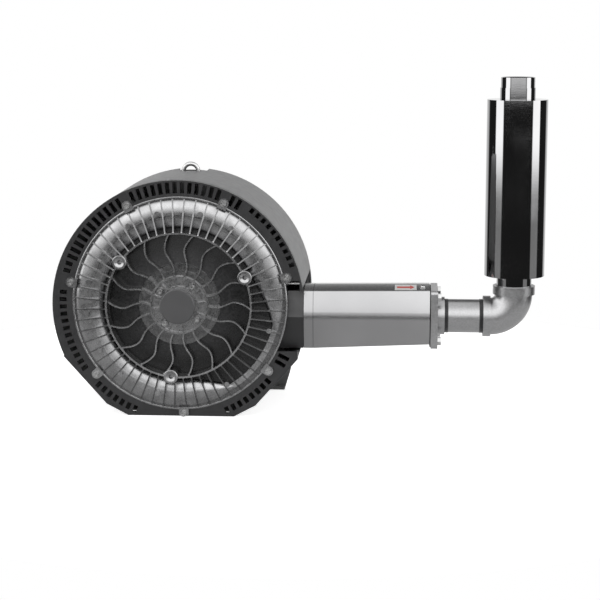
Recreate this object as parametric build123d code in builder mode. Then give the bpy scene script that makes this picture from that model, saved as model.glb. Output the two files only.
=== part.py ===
"""Side channel blower with in-line silencer and riser muffler.

Millimetres, +Z up. The shaft runs along Y and the cover with the ribs faces -Y.
The origin lies on the floor, under the shaft, in the plane of the cover's rim.
"""
import os
from math import cos, radians, sin

from build123d import *

# ---------------------------------------------------------------- driving dimensions
AXIS_Z = 258.0            # shaft above the floor
DRUM_R = 285.0            # outer radius of casing and hood
DRUM_X = -4.5             # the drum's centre, a little off the shaft
DRUM_Z = 252.0
BASE_HALF = 121.0         # half width of the flat base
CORNER_LOW = (170.0, 26.0)
CORNER_HIGH = (266.0, 134.0)
CASING_DEPTH = 22.0
HOOD_REAR = 318.0
HOOD_FLOOR = 6.0          # the hood's flat bottom above the floor

COVER_R = 243.0           # front cover
RIM_BACK = 12.0           # joint plane of cover and channel housing
INNER_RIM_R = 161.0
INNER_RIM_Y = -27.0
CHANNEL_R = 203.0         # centre circle of the side channel
CHANNEL_WALL = 6.0
BULGE_R = 30.0
BULGE_Y = 22.0
HUB_R = 65.4
HUB_Y = -21.0
HUB_SEAT_Y = -9.0
CAP_R = 38.7
CAP_Y = -42.0
EAR_R = 250.0
EAR_ANGLES = [14.6 + 360.0 / 7 * k for k in range(7)]
EAR_Y = -8.0
EAR_TRIM = 3.0            # the lowest ear is cut flat above the floor

PIPE_Y = 88.0             # outlet pipe's axis
PIPE_Z = 222.5
PIPE_R = 38.05            # G 2 1/2 pipe, 76.1 mm outside
PIPE_BORE = 34.4
PORT_X = 277.0            # port face
INLET_Y = 244.0           # inlet port's axis
INLET_Z = 202.0
MUFFLER_X = 752.5
MUFFLER_R = 67.8
MUFFLER_LOW = 318.0
MUFFLER_TOP = 714.0

SHAFT_R = 20.0            # bearing seats
BEARING_R = 40.0
BEARING_WIDTH = 18.0
REAR_BEARING_Y = 264.0
MOTOR_FRONT = 92.0
MOTOR_REAR = 262.0
FRAME_R = 118.0
FIN_R = 145.0

FRONT_AXIS = Axis((0, 0, AXIS_Z), (0, -1, 0))   # positive angles run counter-clockwise from the front


# ---------------------------------------------------------------- shared helpers
def facing(y, x=0.0, z=AXIS_Z):
    """Plane seen from the front: local x to the right, local y up. A minus extrude goes back."""
    return Plane(origin=(x, y, z), x_dir=(1, 0, 0), z_dir=(0, -1, 0))


def across(x, y=PIPE_Y, z=PIPE_Z):
    """Plane across a pipe that runs to +X: local x to the back, local y up."""
    return Plane(origin=(x, y, z), x_dir=(0, 1, 0), z_dir=(1, 0, 0))


def level(z, x=0.0, y=0.0):
    """Horizontal plane at height z."""
    return Plane(origin=(x, y, z), x_dir=(1, 0, 0), z_dir=(0, 0, 1))


def polar(radius, angle):
    """Point at a radius and an angle in degrees."""
    return (radius * cos(radians(angle)), radius * sin(radians(angle)))


def spots(radius, angles):
    """Places on a circle, each turned to its own angle."""
    return [Location((*polar(radius, a), 0), (0, 0, a)) for a in angles]


def box(x, y, z, mode=Mode.ADD):
    """Block between two limits along each axis."""
    with BuildSketch(level(z[0], (x[0] + x[1]) / 2, (y[0] + y[1]) / 2), mode=Mode.PRIVATE) as plan:
        Rectangle(x[1] - x[0], y[1] - y[0])
    extrude(plan.sketch, amount=z[1] - z[0], mode=mode)


def ring(y0, y1, outer, inner=0.0, mode=Mode.ADD):
    """Ring about the shaft from y0 back to y1."""
    with BuildSketch(facing(y0), mode=Mode.PRIVATE) as section:
        Circle(outer)
        if inner > 0:
            Circle(inner, mode=Mode.SUBTRACT)
    extrude(section.sketch, amount=y0 - y1, mode=mode)


def pipe(x0, x1, outer, inner=0.0, y=PIPE_Y, z=PIPE_Z, mode=Mode.ADD):
    """Round pipe along X."""
    with BuildSketch(across(x0, y, z), mode=Mode.PRIVATE) as section:
        Circle(outer)
        if inner > 0:
            Circle(inner, mode=Mode.SUBTRACT)
    extrude(section.sketch, amount=x1 - x0, mode=mode)


def riser(z0, z1, outer, inner=0.0, mode=Mode.ADD):
    """Round pipe along Z on the muffler's axis."""
    with BuildSketch(level(z0, MUFFLER_X, PIPE_Y), mode=Mode.PRIVATE) as section:
        Circle(outer)
        if inner > 0:
            Circle(inner, mode=Mode.SUBTRACT)
    extrude(section.sketch, amount=z1 - z0, mode=mode)


def turned(points, mode=Mode.ADD):
    """Body of revolution about the shaft, from (radius, y) points."""
    with BuildSketch(level(AXIS_Z), mode=Mode.PRIVATE) as profile:
        with BuildLine():
            Polyline(*points, close=True)
        make_face()
    revolve(profile.sketch, axis=FRONT_AXIS, mode=mode)


def drum_outline(inset, floor=0.0):
    """Round drum with its flat base and slanted corners, local y measured from the floor."""
    low_x, low_z = CORNER_LOW
    high_x, high_z = CORNER_HIGH
    with BuildSketch(mode=Mode.PRIVATE) as outline:
        with Locations((DRUM_X, DRUM_Z)):
            Circle(DRUM_R)
        with BuildLine():
            Polyline((-BASE_HALF, 0), (BASE_HALF, 0), (low_x, low_z), (high_x, high_z), (high_x, 165),
                     (-high_x, 165), (-high_x, high_z), (-low_x, low_z), close=True)
        make_face()
        with BuildLine():
            Polyline((-BASE_HALF, floor), (-low_x, low_z), (-high_x, high_z), (-400, high_z), (-400, -60),
                     (400, -60), (400, high_z), (high_x, high_z), (low_x, low_z), (BASE_HALF, floor),
                     close=True)
        make_face(mode=Mode.SUBTRACT)
        if inset > 0:
            offset(amount=-inset, kind=Kind.INTERSECTION, mode=Mode.REPLACE)
    return outline.sketch


def drum(y0, y1, inset, floor=0.0, mode=Mode.ADD):
    """Slice of the drum from y0 back to y1."""
    with BuildSketch(facing(y0, z=0.0), mode=Mode.PRIVATE) as section:
        add(drum_outline(inset, floor))
    extrude(section.sketch, amount=y0 - y1, mode=mode)


def save(block, name):
    """Label a finished piece and write it."""
    block.part.label = name
    export_step(block.part, f"parts/{name}.step")


os.makedirs("parts", exist_ok=True)

# ---------------------------------------------------------------- front cover
RIB_COUNT = 56
RIB_THICK = 3.0
RIB_OUTER = 241.0
DOME_EDGE_R = 92.0
LEDGE_Y = -3.0
POCKET_Y = 3.0
CHANNEL_START = 20.0      # full channel section from here, counter-clockwise ...
CHANNEL_SPAN = 260.0      # ... over this angle; the ends taper away past it
# the tapering ends of the channel: angle, centre radius, section radius and the section's crest
CHANNEL_TAIL = [(280.0, CHANNEL_R, BULGE_R, -8.0), (291.0, 210.0, 22.0, -6.0), (303.0, 224.0, 9.0, -1.0)]
CHANNEL_HEAD = [(20.0, CHANNEL_R, BULGE_R, -8.0), (4.0, 210.0, 22.0, -6.0), (-15.0, 226.0, 9.0, -1.0)]
S_RIB_COUNT = 18
S_RIB_FIRST = 198.0
S_RIB_THICK = 3.2
S_RIB_Y = -19.0
# how far an S-shaped rib leans, in degrees, from the hub out to the inner rim
S_RIB_LEAN = [(66.2, 1.0), (80.0, -1.0), (101.0, 1.5), (124.0, 5.5), (143.0, 3.5), (161.5, -0.8)]
BOSS_ANGLES = [23.5, 143.5, 263.5]
BOSS_PLACE_R = 163.0
BOSS_R = 16.0
PIN_ANGLES = [28.8, 55.8, 76.4, 102.9, 122.4, 166.3, 185.3, 210.3, 229.7, 255.7, 300.5, 344.1]
PIN_PLACE_R = 210.0
PIN_R = 5.7
HUB_SCREW_R = 52.0
HUB_SCREW_ANGLES = [53.0 + 90.0 * k for k in range(4)]


def channel_section(angle, centre_r, radius, crest, back_y=RIM_BACK - 1):
    """Front part of the channel's round section, standing in the radial plane at an angle."""
    x, z = polar(1.0, angle)
    centre_y = crest + radius
    plane = Plane(origin=(centre_r * x, centre_y, AXIS_Z + centre_r * z), x_dir=(x, 0, z), z_dir=(-z, 0, x))
    back = back_y - centre_y
    with BuildSketch(plane, mode=Mode.PRIVATE) as section:
        Circle(radius)
        with Locations((0, back + 2 * radius)):
            Rectangle(4 * radius, 4 * radius, mode=Mode.SUBTRACT)
    return section.sketch


with BuildPart() as ring_rib:
    with BuildSketch(level(AXIS_Z)):
        with BuildLine():
            Polyline((INNER_RIM_R + 1, INNER_RIM_Y), (INNER_RIM_R + 4, INNER_RIM_Y), (RIB_OUTER, -0.5),
                     (RIB_OUTER, 8), (INNER_RIM_R + 1, 8), close=True)
        make_face()
    extrude(amount=RIB_THICK / 2, both=True)

with BuildPart() as s_rib:
    with BuildSketch(facing(S_RIB_Y)):
        with BuildLine():
            lean_line = Spline(*[polar(r, lean) for r, lean in S_RIB_LEAN])
        trace(lines=lean_line, line_width=S_RIB_THICK)
    extrude(amount=S_RIB_Y - RIM_BACK + 2)

with BuildPart() as front_cover:
    turned([(BEARING_R, HUB_SEAT_Y), (HUB_R + 1.5, HUB_SEAT_Y), (HUB_R + 7, LEDGE_Y - 5),
            (DOME_EDGE_R, LEDGE_Y), (DOME_EDGE_R, LEDGE_Y + 4), (INNER_RIM_R - 2, POCKET_Y + 2),
            (INNER_RIM_R, INNER_RIM_Y), (INNER_RIM_R + 4, INNER_RIM_Y), (INNER_RIM_R + 5, POCKET_Y),
            (226, POCKET_Y), (227, 0), (COVER_R, 0), (COVER_R, RIM_BACK), (BEARING_R - 6, RIM_BACK),
            (BEARING_R - 6, HUB_SEAT_Y + BEARING_WIDTH), (BEARING_R, HUB_SEAT_Y + BEARING_WIDTH)])
    revolve(channel_section(*CHANNEL_HEAD[0]), axis=FRONT_AXIS, revolution_arc=CHANNEL_SPAN)
    loft([channel_section(*s) for s in CHANNEL_TAIL])
    loft([channel_section(*s) for s in CHANNEL_HEAD])
    add([ring_rib.part.rotate(FRONT_AXIS, (k + 0.5) * 360 / RIB_COUNT) for k in range(RIB_COUNT)])
    add([s_rib.part.rotate(FRONT_AXIS, S_RIB_FIRST + k * 360 / S_RIB_COUNT) for k in range(S_RIB_COUNT)])
    with BuildSketch(facing(INNER_RIM_Y - 2)):
        with Locations(*spots(BOSS_PLACE_R, BOSS_ANGLES)):
            Circle(BOSS_R)
    extrude(amount=INNER_RIM_Y - 2 - 7)
    with BuildSketch(facing(-12.5)):
        with Locations(*spots(PIN_PLACE_R, PIN_ANGLES)):
            Circle(PIN_R)
    extrude(amount=-12.5 - 4)
    with BuildSketch(facing(EAR_Y)):
        with Locations(*spots(EAR_R, EAR_ANGLES)):
            Circle(11)
        with Locations(*spots(EAR_R - 7, EAR_ANGLES)):
            Rectangle(14, 22)
    extrude(amount=EAR_Y)
    box((-30, 30), (EAR_Y, 0), (-10, EAR_TRIM), mode=Mode.SUBTRACT)
    # screw holes, the bosses' recesses and the channel's inside
    with BuildSketch(facing(EAR_Y)):
        with Locations(*spots(EAR_R, EAR_ANGLES)):
            Circle(4.4)
    extrude(amount=EAR_Y - 1, mode=Mode.SUBTRACT)
    with BuildSketch(facing(HUB_SEAT_Y)):
        with Locations(*spots(HUB_SCREW_R, HUB_SCREW_ANGLES)):
            Circle(3.0)
    extrude(amount=-15, mode=Mode.SUBTRACT)
    with BuildSketch(facing(INNER_RIM_Y - 2)):
        with Locations(*spots(BOSS_PLACE_R, BOSS_ANGLES)):
            Circle(10.5)
    extrude(amount=-4, mode=Mode.SUBTRACT)
    with BuildSketch(facing(INNER_RIM_Y)):
        with Locations(*spots(BOSS_PLACE_R, BOSS_ANGLES)):
            Circle(5)
    extrude(amount=-22, mode=Mode.SUBTRACT)
    groove = channel_section(CHANNEL_START, CHANNEL_R, BULGE_R - CHANNEL_WALL, BULGE_Y - BULGE_R + CHANNEL_WALL, 25)
    revolve(groove, axis=FRONT_AXIS, revolution_arc=CHANNEL_SPAN, mode=Mode.SUBTRACT)
save(front_cover, "front_cover")

# ---------------------------------------------------------------- hub: bearing cover, cap, screws
HUB_CELLS = 12
HUB_CELL_FIRST = 8.0

with BuildPart() as hub_ring:
    ring(HUB_Y, HUB_SEAT_Y, HUB_R, BEARING_R - 5)
    ring(HUB_Y, HUB_SEAT_Y - 3, HUB_R - 4, BEARING_R + 3, mode=Mode.SUBTRACT)
    with BuildSketch(facing(HUB_Y)):
        with Locations(*spots(HUB_SCREW_R, [HUB_CELL_FIRST + 360 / HUB_CELLS * k for k in range(HUB_CELLS)])):
            Rectangle(22, 2.4)
        with Locations(*spots(HUB_SCREW_R, HUB_SCREW_ANGLES)):
            Circle(7.5)
    extrude(amount=HUB_Y - HUB_SEAT_Y)
    with BuildSketch(facing(HUB_Y)):
        with Locations(*spots(HUB_SCREW_R, HUB_SCREW_ANGLES)):
            Circle(3.4)
    extrude(amount=HUB_Y - HUB_SEAT_Y, mode=Mode.SUBTRACT)
save(hub_ring, "hub_ring")

with BuildPart() as hub_cap:
    turned([(0, CAP_Y), (CAP_R - 1.5, CAP_Y), (CAP_R, CAP_Y + 1.5), (CAP_R, HUB_Y), (CAP_R - 3, HUB_Y),
            (CAP_R - 3, CAP_Y + 4), (0, CAP_Y + 4)])
save(hub_cap, "hub_cap")


def studs(plane, places, shape, height):
    """The same outline at several places on a plane, extruded along its normal."""
    with BuildSketch(plane, mode=Mode.PRIVATE) as outlines:
        with Locations(*places):
            add(shape)
    extrude(outlines.sketch, amount=height)


def socket_screws(plane, places, head_r, head_h, shank_r, shank_h, key_r):
    """Socket head screws seated on a plane; the shanks run behind it."""
    with BuildSketch(mode=Mode.PRIVATE) as head:
        Circle(head_r)
    with BuildSketch(mode=Mode.PRIVATE) as rim:
        Circle(head_r)
        RegularPolygon(key_r, 6, mode=Mode.SUBTRACT)
    with BuildSketch(mode=Mode.PRIVATE) as shank:
        Circle(shank_r)
    studs(plane, places, head.sketch, head_h * 0.4)
    studs(plane, places, rim.sketch, head_h)
    studs(plane, places, shank.sketch, -shank_h)


with BuildPart() as hub_screws:
    socket_screws(facing(HUB_Y), spots(HUB_SCREW_R, HUB_SCREW_ANGLES), 5.0, 5.0, 3.0, 26, 2.6)
save(hub_screws, "hub_screws")

with BuildPart() as cover_screws:
    socket_screws(facing(EAR_Y), spots(EAR_R, EAR_ANGLES), 6.5, 8.0, 4.0, 42, 3.4)
save(cover_screws, "cover_screws")

# ---------------------------------------------------------------- black slotted casing
CASING_PLATE = 8.0
CASING_WALL = 5.0
CASING_BORE = COVER_R + 0.4
SLOT_PITCH = 3.6
SLOT_WIDTH = 9.4
EAR_CLEAR = 2.6
TIE_Y = 18.0              # tie bolt between housing and casing, over the neck
TIE_Z = 305.0
TIE_X = (224.0, 275.0)
TIE_R = 3.3
PORT_LOW = 152.0
PORT_HIGH = 290.0
# slots by zone: first and last angle, inner and outer radius
SLOT_ZONES = [(17, 55, 262, 274.5), (57, 160, 250, 275), (160, 250, 257, 273), (290, 322, 257, 272),
              (326, 336, 250, 276)]


def slot_angles(first, last):
    """Slot centres within a zone that keep clear of the bolt ears."""
    centres = [SLOT_PITCH * (k + 0.5) for k in range(100)]
    clear = [a for a in centres if all(abs(a - ear) > EAR_CLEAR for ear in EAR_ANGLES)]
    return [a for a in clear if first < a < last]


with BuildPart() as casing:
    drum(0, CASING_DEPTH, 0)
    drum(CASING_PLATE, CASING_DEPTH, CASING_WALL, mode=Mode.SUBTRACT)
    with BuildSketch(facing(CASING_PLATE)):
        with Locations(*spots(EAR_R + 1, EAR_ANGLES)):
            Circle(11)
    extrude(amount=CASING_PLATE - CASING_DEPTH)
    box((-30, 30), (CASING_PLATE, CASING_DEPTH), (-20, 0), mode=Mode.SUBTRACT)
    ring(0, CASING_DEPTH, CASING_BORE, mode=Mode.SUBTRACT)
    with BuildSketch(facing(0)):
        for first, last, inner, outer in SLOT_ZONES:
            with Locations(*spots((inner + outer) / 2, slot_angles(first, last))):
                Rectangle(outer - inner, SLOT_WIDTH)
    extrude(amount=-CASING_PLATE, mode=Mode.SUBTRACT)
    box((150, 300), (-1, CASING_DEPTH + 1), (PORT_LOW, PORT_HIGH), mode=Mode.SUBTRACT)
    box((150, 270.5), (-1, CASING_DEPTH + 1), (PORT_HIGH - 1, TIE_Z + 8), mode=Mode.SUBTRACT)
    pipe(260, 285, TIE_R, y=TIE_Y, z=TIE_Z, mode=Mode.SUBTRACT)
    with BuildSketch(facing(0)):
        with Locations(*spots(EAR_R, EAR_ANGLES)):
            Circle(4.4)
    extrude(amount=-CASING_DEPTH, mode=Mode.SUBTRACT)
save(casing, "casing")

# ---------------------------------------------------------------- section shared by neck and silencer
SECTION_LEFT = (155.0, 286.0)     # lower and upper edge at the port ...
SECTION_RIGHT = (166.0, 289.0)    # ... and at the far end
SECTION_HALF = 59.0               # half depth at the edges
SECTION_RIDGE = 72.5              # half depth at the side ridges
RIDGE_Z = 228.0
GABLE = 7.0                       # rise of the middle over the edges
RIDGE_ROUND = 26.0


def slab_section(x, low, high, inset=0.0):
    """Flat-sided duct section with a rounded ridge along each side and a slightly gabled top and bottom."""
    half = SECTION_HALF - inset
    ridge = SECTION_RIDGE - inset
    top = high - inset
    bottom = low + inset
    with BuildSketch(across(x, PIPE_Y, 0.0), mode=Mode.PRIVATE) as section:
        with BuildLine():
            Polyline((-half, bottom), (0, bottom - GABLE), (half, bottom), (ridge, RIDGE_Z), (half, top),
                     (0, top + GABLE), (-half, top), (-ridge, RIDGE_Z), close=True)
        make_face()
        fillet(section.vertices().group_by(Axis.Y)[0], RIDGE_ROUND)
        fillet(section.vertices().group_by(Axis.Y)[-1], RIDGE_ROUND)
    return section.sketch


# ---------------------------------------------------------------- channel housing with the outlet neck
CAVITY_R = 231.0
CAVITY_BACK = 62.0
REAR_CHANNEL_Y = 54.0
SEAL_R = 35.0
SEAL_FRONT = 78.0
PORT_BOLT = 44.0
PORT_BOLT_Z = 52.0
PORT_BOLT_R = 4.0
PORT_CORNERS = [(PIPE_Y + y, PIPE_Z + z) for y in (-PORT_BOLT, PORT_BOLT) for z in (-PORT_BOLT_Z, PORT_BOLT_Z)]

with BuildPart() as channel_housing:
    ring(RIM_BACK, 40, COVER_R)
    ring(40, MOTOR_FRONT, 238)
    with BuildSketch(facing(CASING_DEPTH)):
        with Locations(*spots(EAR_R, EAR_ANGLES)):
            Circle(11)
        with Locations(*spots(EAR_R - 8, EAR_ANGLES)):
            Rectangle(16, 22)
    extrude(amount=CASING_DEPTH - 44)
    box((-30, 30), (CASING_DEPTH, 44), (-20, EAR_TRIM), mode=Mode.SUBTRACT)
    extrude(slab_section(205, *SECTION_LEFT), amount=PORT_X - 205)
    ring(RIM_BACK, CAVITY_BACK, CAVITY_R, mode=Mode.SUBTRACT)
    rear_groove = channel_section(CHANNEL_START, CHANNEL_R, BULGE_R - CHANNEL_WALL,
                                  REAR_CHANNEL_Y - BULGE_R + CHANNEL_WALL, REAR_CHANNEL_Y + 40)
    revolve(rear_groove, axis=FRONT_AXIS, revolution_arc=CHANNEL_SPAN, mode=Mode.SUBTRACT)
    ring(RIM_BACK, MOTOR_FRONT, 24, mode=Mode.SUBTRACT)
    ring(SEAL_FRONT, MOTOR_FRONT, SEAL_R, mode=Mode.SUBTRACT)
    pipe(208, PORT_X, PIPE_BORE, mode=Mode.SUBTRACT)
    for y, z in PORT_CORNERS:
        pipe(PORT_X - 30, PORT_X, PORT_BOLT_R, y=y, z=z, mode=Mode.SUBTRACT)
    pipe(TIE_X[0], PORT_X, TIE_R, y=TIE_Y, z=TIE_Z, mode=Mode.SUBTRACT)
    with BuildSketch(facing(CASING_DEPTH)):
        with Locations(*spots(EAR_R, EAR_ANGLES)):
            Circle(4.0)
    extrude(amount=CASING_DEPTH - 36, mode=Mode.SUBTRACT)
save(channel_housing, "channel_housing")

# ---------------------------------------------------------------- rotor
IMPELLER_FRONT = 13.0
IMPELLER_BACK = 61.0
IMPELLER_R = 229.0
VANE_COUNT = 40
ROTOR_R = 54.0
STATOR_R = 92.0
NUT_FRONT = -27.0
FAN_FRONT = 284.0
FAN_BACK = 304.0
KEY_SPAN = (18.0, 56.0)

with BuildPart() as shaft:
    turned([(0, -32), (14, -32), (15, -31), (15, HUB_SEAT_Y), (SHAFT_R, HUB_SEAT_Y), (SHAFT_R, 9),
            (21, 9), (21, IMPELLER_BACK), (22, IMPELLER_BACK), (22, 105), (26, 105), (26, 250),
            (SHAFT_R + 2, 250), (SHAFT_R + 2, REAR_BEARING_Y), (SHAFT_R, REAR_BEARING_Y),
            (SHAFT_R, FAN_FRONT - 2), (15, FAN_FRONT - 2), (15, FAN_BACK + 4), (0, FAN_BACK + 4)])
    box((-6, 6), KEY_SPAN, (AXIS_Z + 16, AXIS_Z + 24), mode=Mode.SUBTRACT)
save(shaft, "shaft")

with BuildPart() as impeller_key:
    box((-6, 6), KEY_SPAN, (AXIS_Z + 16, AXIS_Z + 24))
save(impeller_key, "impeller_key")

with BuildPart() as impeller:
    turned([(21, IMPELLER_FRONT), (40, IMPELLER_FRONT), (44, 32), (172, 34), (178, 26), (186, 34),
            (IMPELLER_R, 35), (IMPELLER_R, 39), (186, 40), (178, 48), (172, 40), (44, 42),
            (40, IMPELLER_BACK), (21, IMPELLER_BACK)])
    with BuildSketch(facing(IMPELLER_FRONT + 1)):
        with Locations(*spots((176 + IMPELLER_R) / 2, [360 / VANE_COUNT * k for k in range(VANE_COUNT)])):
            Rectangle(IMPELLER_R - 176 - 2, 3)
    extrude(amount=IMPELLER_FRONT - IMPELLER_BACK + 2)
    box((-6, 6), (IMPELLER_FRONT, IMPELLER_BACK), (AXIS_Z + 16, AXIS_Z + 24), mode=Mode.SUBTRACT)
save(impeller, "impeller")

with BuildPart() as shaft_nut:
    with BuildSketch(facing(NUT_FRONT)):
        RegularPolygon(23, 6, major_radius=False)
        Circle(15, mode=Mode.SUBTRACT)
    extrude(amount=NUT_FRONT - HUB_SEAT_Y)
save(shaft_nut, "shaft_nut")

with BuildPart() as rotor_core:
    ring(118, 238, ROTOR_R, 26)
    ring(110, 118, ROTOR_R - 2, ROTOR_R - 16)
    ring(238, 246, ROTOR_R - 2, ROTOR_R - 16)
save(rotor_core, "rotor_core")

with BuildPart() as cooling_fan:
    ring(FAN_FRONT, FAN_BACK, 30, 15)
    ring(FAN_FRONT, FAN_FRONT + 3, 108, 29)
    with BuildSketch(facing(FAN_FRONT + 2)):
        with Locations(*spots(72, [36 * k for k in range(10)])):
            Rectangle(76, 3)
    extrude(amount=FAN_FRONT + 2 - FAN_BACK)
save(cooling_fan, "cooling_fan")

# ---------------------------------------------------------------- bearings
BALL_COUNT = 8
BALL_R = 5.5
BALL_PATH_R = 30.0
RACE_GAP = 0.1


def bearing(y, name):
    """Deep groove ball bearing 40 x 80 x 18: outer ring, inner ring, cage with its balls."""
    middle = y + BEARING_WIDTH / 2
    with BuildSketch(level(AXIS_Z, 0, 0), mode=Mode.PRIVATE) as path:
        with Locations((BALL_PATH_R, middle)):
            Circle(BALL_R + RACE_GAP)
    with BuildPart() as outer_ring:
        ring(y, y + BEARING_WIDTH, BEARING_R, BALL_PATH_R + 4.4)
        revolve(path.sketch, axis=FRONT_AXIS, mode=Mode.SUBTRACT)
    save(outer_ring, f"{name}_outer_ring")
    with BuildPart() as inner_ring:
        ring(y, y + BEARING_WIDTH, BALL_PATH_R - 4.4, SHAFT_R)
        revolve(path.sketch, axis=FRONT_AXIS, mode=Mode.SUBTRACT)
    save(inner_ring, f"{name}_inner_ring")
    with BuildPart(facing(middle)) as balls:
        ring(middle - 4, middle + 4, BALL_PATH_R + 1.6, BALL_PATH_R - 1.6)
        with PolarLocations(BALL_PATH_R, BALL_COUNT):
            Sphere(BALL_R)
    save(balls, f"{name}_balls")


bearing(HUB_SEAT_Y, "front_bearing")
bearing(REAR_BEARING_Y, "rear_bearing")

with BuildPart() as shaft_seal:
    ring(SEAL_FRONT, SEAL_FRONT + 10, SEAL_R, 22.4)
save(shaft_seal, "shaft_seal")

# ---------------------------------------------------------------- motor
FIN_COUNT = 36
POST_X = (-17.0, 13.0)
POST_Y = (229.0, 255.0)
EYE_X = -2.0
EYE_Y = 244.0
EYE_SEAT = 508.0
EYE_MIDDLE = 535.0
PAD_TOP = 98.0
BOX_Y = (110.0, 210.0)
BOX_Z = (208.0, 308.0)

with BuildPart() as motor_housing:
    ring(MOTOR_FRONT, MOTOR_REAR, FRAME_R)
    with BuildSketch(facing(MOTOR_FRONT + 8)):
        with Locations(*spots((FRAME_R + FIN_R) / 2 - 1, [360 / FIN_COUNT * k for k in range(FIN_COUNT)])):
            Rectangle(FIN_R - FRAME_R + 2, 3)
    extrude(amount=MOTOR_FRONT + 8 - (MOTOR_REAR - 14))
    box((-150, -100), (120, 200), (218, 298))
    box(POST_X, POST_Y, (AXIS_Z + 100, EYE_SEAT))
    box((-50, 50), (215, 255), (PAD_TOP, AXIS_Z - 100))
    ring(MOTOR_FRONT, MOTOR_REAR, STATOR_R, mode=Mode.SUBTRACT)
    with BuildSketch(level(EYE_SEAT, EYE_X, EYE_Y)):
        Circle(5)
    extrude(amount=-20, mode=Mode.SUBTRACT)
save(motor_housing, "motor_housing")

with BuildPart() as stator_core:
    ring(118, 238, STATOR_R, ROTOR_R + 0.8)
save(stator_core, "stator_core")

with BuildPart() as stator_windings:
    for y0, y1 in ((98, 118), (238, 256)):
        ring(y0, y1, 86, 60)
save(stator_windings, "stator_windings")

with BuildPart() as rear_end_shield:
    ring(MOTOR_REAR, REAR_BEARING_Y + BEARING_WIDTH - 8, FRAME_R, BEARING_R - 8)
    ring(REAR_BEARING_Y, REAR_BEARING_Y + BEARING_WIDTH, 50, BEARING_R)
    ring(REAR_BEARING_Y, REAR_BEARING_Y + BEARING_WIDTH, BEARING_R, mode=Mode.SUBTRACT)
save(rear_end_shield, "rear_end_shield")

COWL_R = 148.0
COWL_FRONT = 256.0
COWL_BACK = 316.0
COWL_WALL = 2.5

with BuildPart() as fan_cowl:
    ring(COWL_FRONT, COWL_BACK, COWL_R, COWL_R - COWL_WALL)
    ring(COWL_BACK - COWL_WALL, COWL_BACK, COWL_R)
    with BuildSketch(facing(COWL_BACK - COWL_WALL)):
        for middle, count in ((55, 12), (86, 24), (117, 24)):
            with Locations(*spots(middle, [360 / count * (k + 0.5) for k in range(count)])):
                Rectangle(24, 8)
    extrude(amount=-COWL_WALL, mode=Mode.SUBTRACT)
save(fan_cowl, "fan_cowl")

SUPPORT_WALL = 5.0
HOOD_WALL = 3.0

with BuildPart() as motor_support:
    with BuildSketch(facing(215, z=0.0)):
        with BuildLine():
            floor = HOOD_FLOOR + HOOD_WALL
            Polyline((-95, floor), (-55, floor), (-55, PAD_TOP - SUPPORT_WALL), (55, PAD_TOP - SUPPORT_WALL),
                     (55, floor), (95, floor), (95, floor + SUPPORT_WALL), (60, floor + SUPPORT_WALL),
                     (60, PAD_TOP), (-60, PAD_TOP), (-60, floor + SUPPORT_WALL), (-95, floor + SUPPORT_WALL),
                     close=True)
        make_face()
    extrude(amount=215 - 312)
save(motor_support, "motor_support")

with BuildPart() as terminal_box:
    box((-200, -150), BOX_Y, BOX_Z)
    fillet(terminal_box.edges().filter_by(Axis.X), 8)
    box((-200, -154), (BOX_Y[0] + 4, BOX_Y[1] - 4), (BOX_Z[0] + 4, BOX_Z[1] - 4), mode=Mode.SUBTRACT)
save(terminal_box, "terminal_box")

with BuildPart() as terminal_lid:
    box((-208, -200), BOX_Y, BOX_Z)
    fillet(terminal_lid.edges().filter_by(Axis.X), 8)
save(terminal_lid, "terminal_lid")

with BuildPart() as cable_gland:
    with BuildSketch(facing(BOX_Y[1] + 8, -175)):
        RegularPolygon(15, 6, major_radius=False)
    extrude(amount=8)
    with BuildSketch(facing(BOX_Y[1] + 8, -175)):
        Circle(13)
    extrude(amount=-14, taper=12)
    with BuildSketch(facing(BOX_Y[1] + 22, -175)):
        Circle(7)
    extrude(amount=22, mode=Mode.SUBTRACT)
save(cable_gland, "cable_gland")

with BuildPart() as lifting_eye:
    with BuildSketch(level(EYE_SEAT, EYE_X, EYE_Y)):
        Circle(11)
    extrude(amount=8)
    with BuildSketch(level(EYE_SEAT, EYE_X, EYE_Y)):
        Circle(5)
    extrude(amount=-18)
    with Locations(Location((EYE_X, EYE_Y, EYE_MIDDLE), (90, 0, 0))):
        Torus(17.3, 5)
save(lifting_eye, "lifting_eye")

# ---------------------------------------------------------------- hood, foot
NOTCH_HALF = 35.0
NOTCH_FRONT = 272.0
HOOD_INSET = 0.6
HOOD_FLANGE = 16.0
WINDOW = (136.0, 294.0)

with BuildPart() as hood:
    flat = HOOD_FLOOR - HOOD_INSET
    drum(CASING_DEPTH, HOOD_REAR, HOOD_INSET, flat)
    drum(CASING_DEPTH, HOOD_REAR - HOOD_WALL, HOOD_INSET + HOOD_WALL, flat, mode=Mode.SUBTRACT)
    drum(HOOD_REAR - HOOD_WALL, HOOD_REAR, HOOD_FLANGE, flat, mode=Mode.SUBTRACT)
    box((-10, 25), (CASING_DEPTH, 48), (0, 20), mode=Mode.SUBTRACT)
    box((EYE_X - NOTCH_HALF, EYE_X + NOTCH_HALF), (NOTCH_FRONT, HOOD_REAR), (480, 560), mode=Mode.SUBTRACT)
    box((EYE_X - 24, EYE_X + 24), (EYE_Y - 12, EYE_Y + 12), (480, 560), mode=Mode.SUBTRACT)
    box((225, 300), (CASING_DEPTH, HOOD_REAR - 8), WINDOW, mode=Mode.SUBTRACT)
save(hood, "hood")

FOOT_FRONT = 285.0
FOOT_BACK = 325.0
FOOT_HALF = 216.0
FOOT_HOLE_X = 196.0
FOOT_HOLE_Y = 304.0

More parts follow.
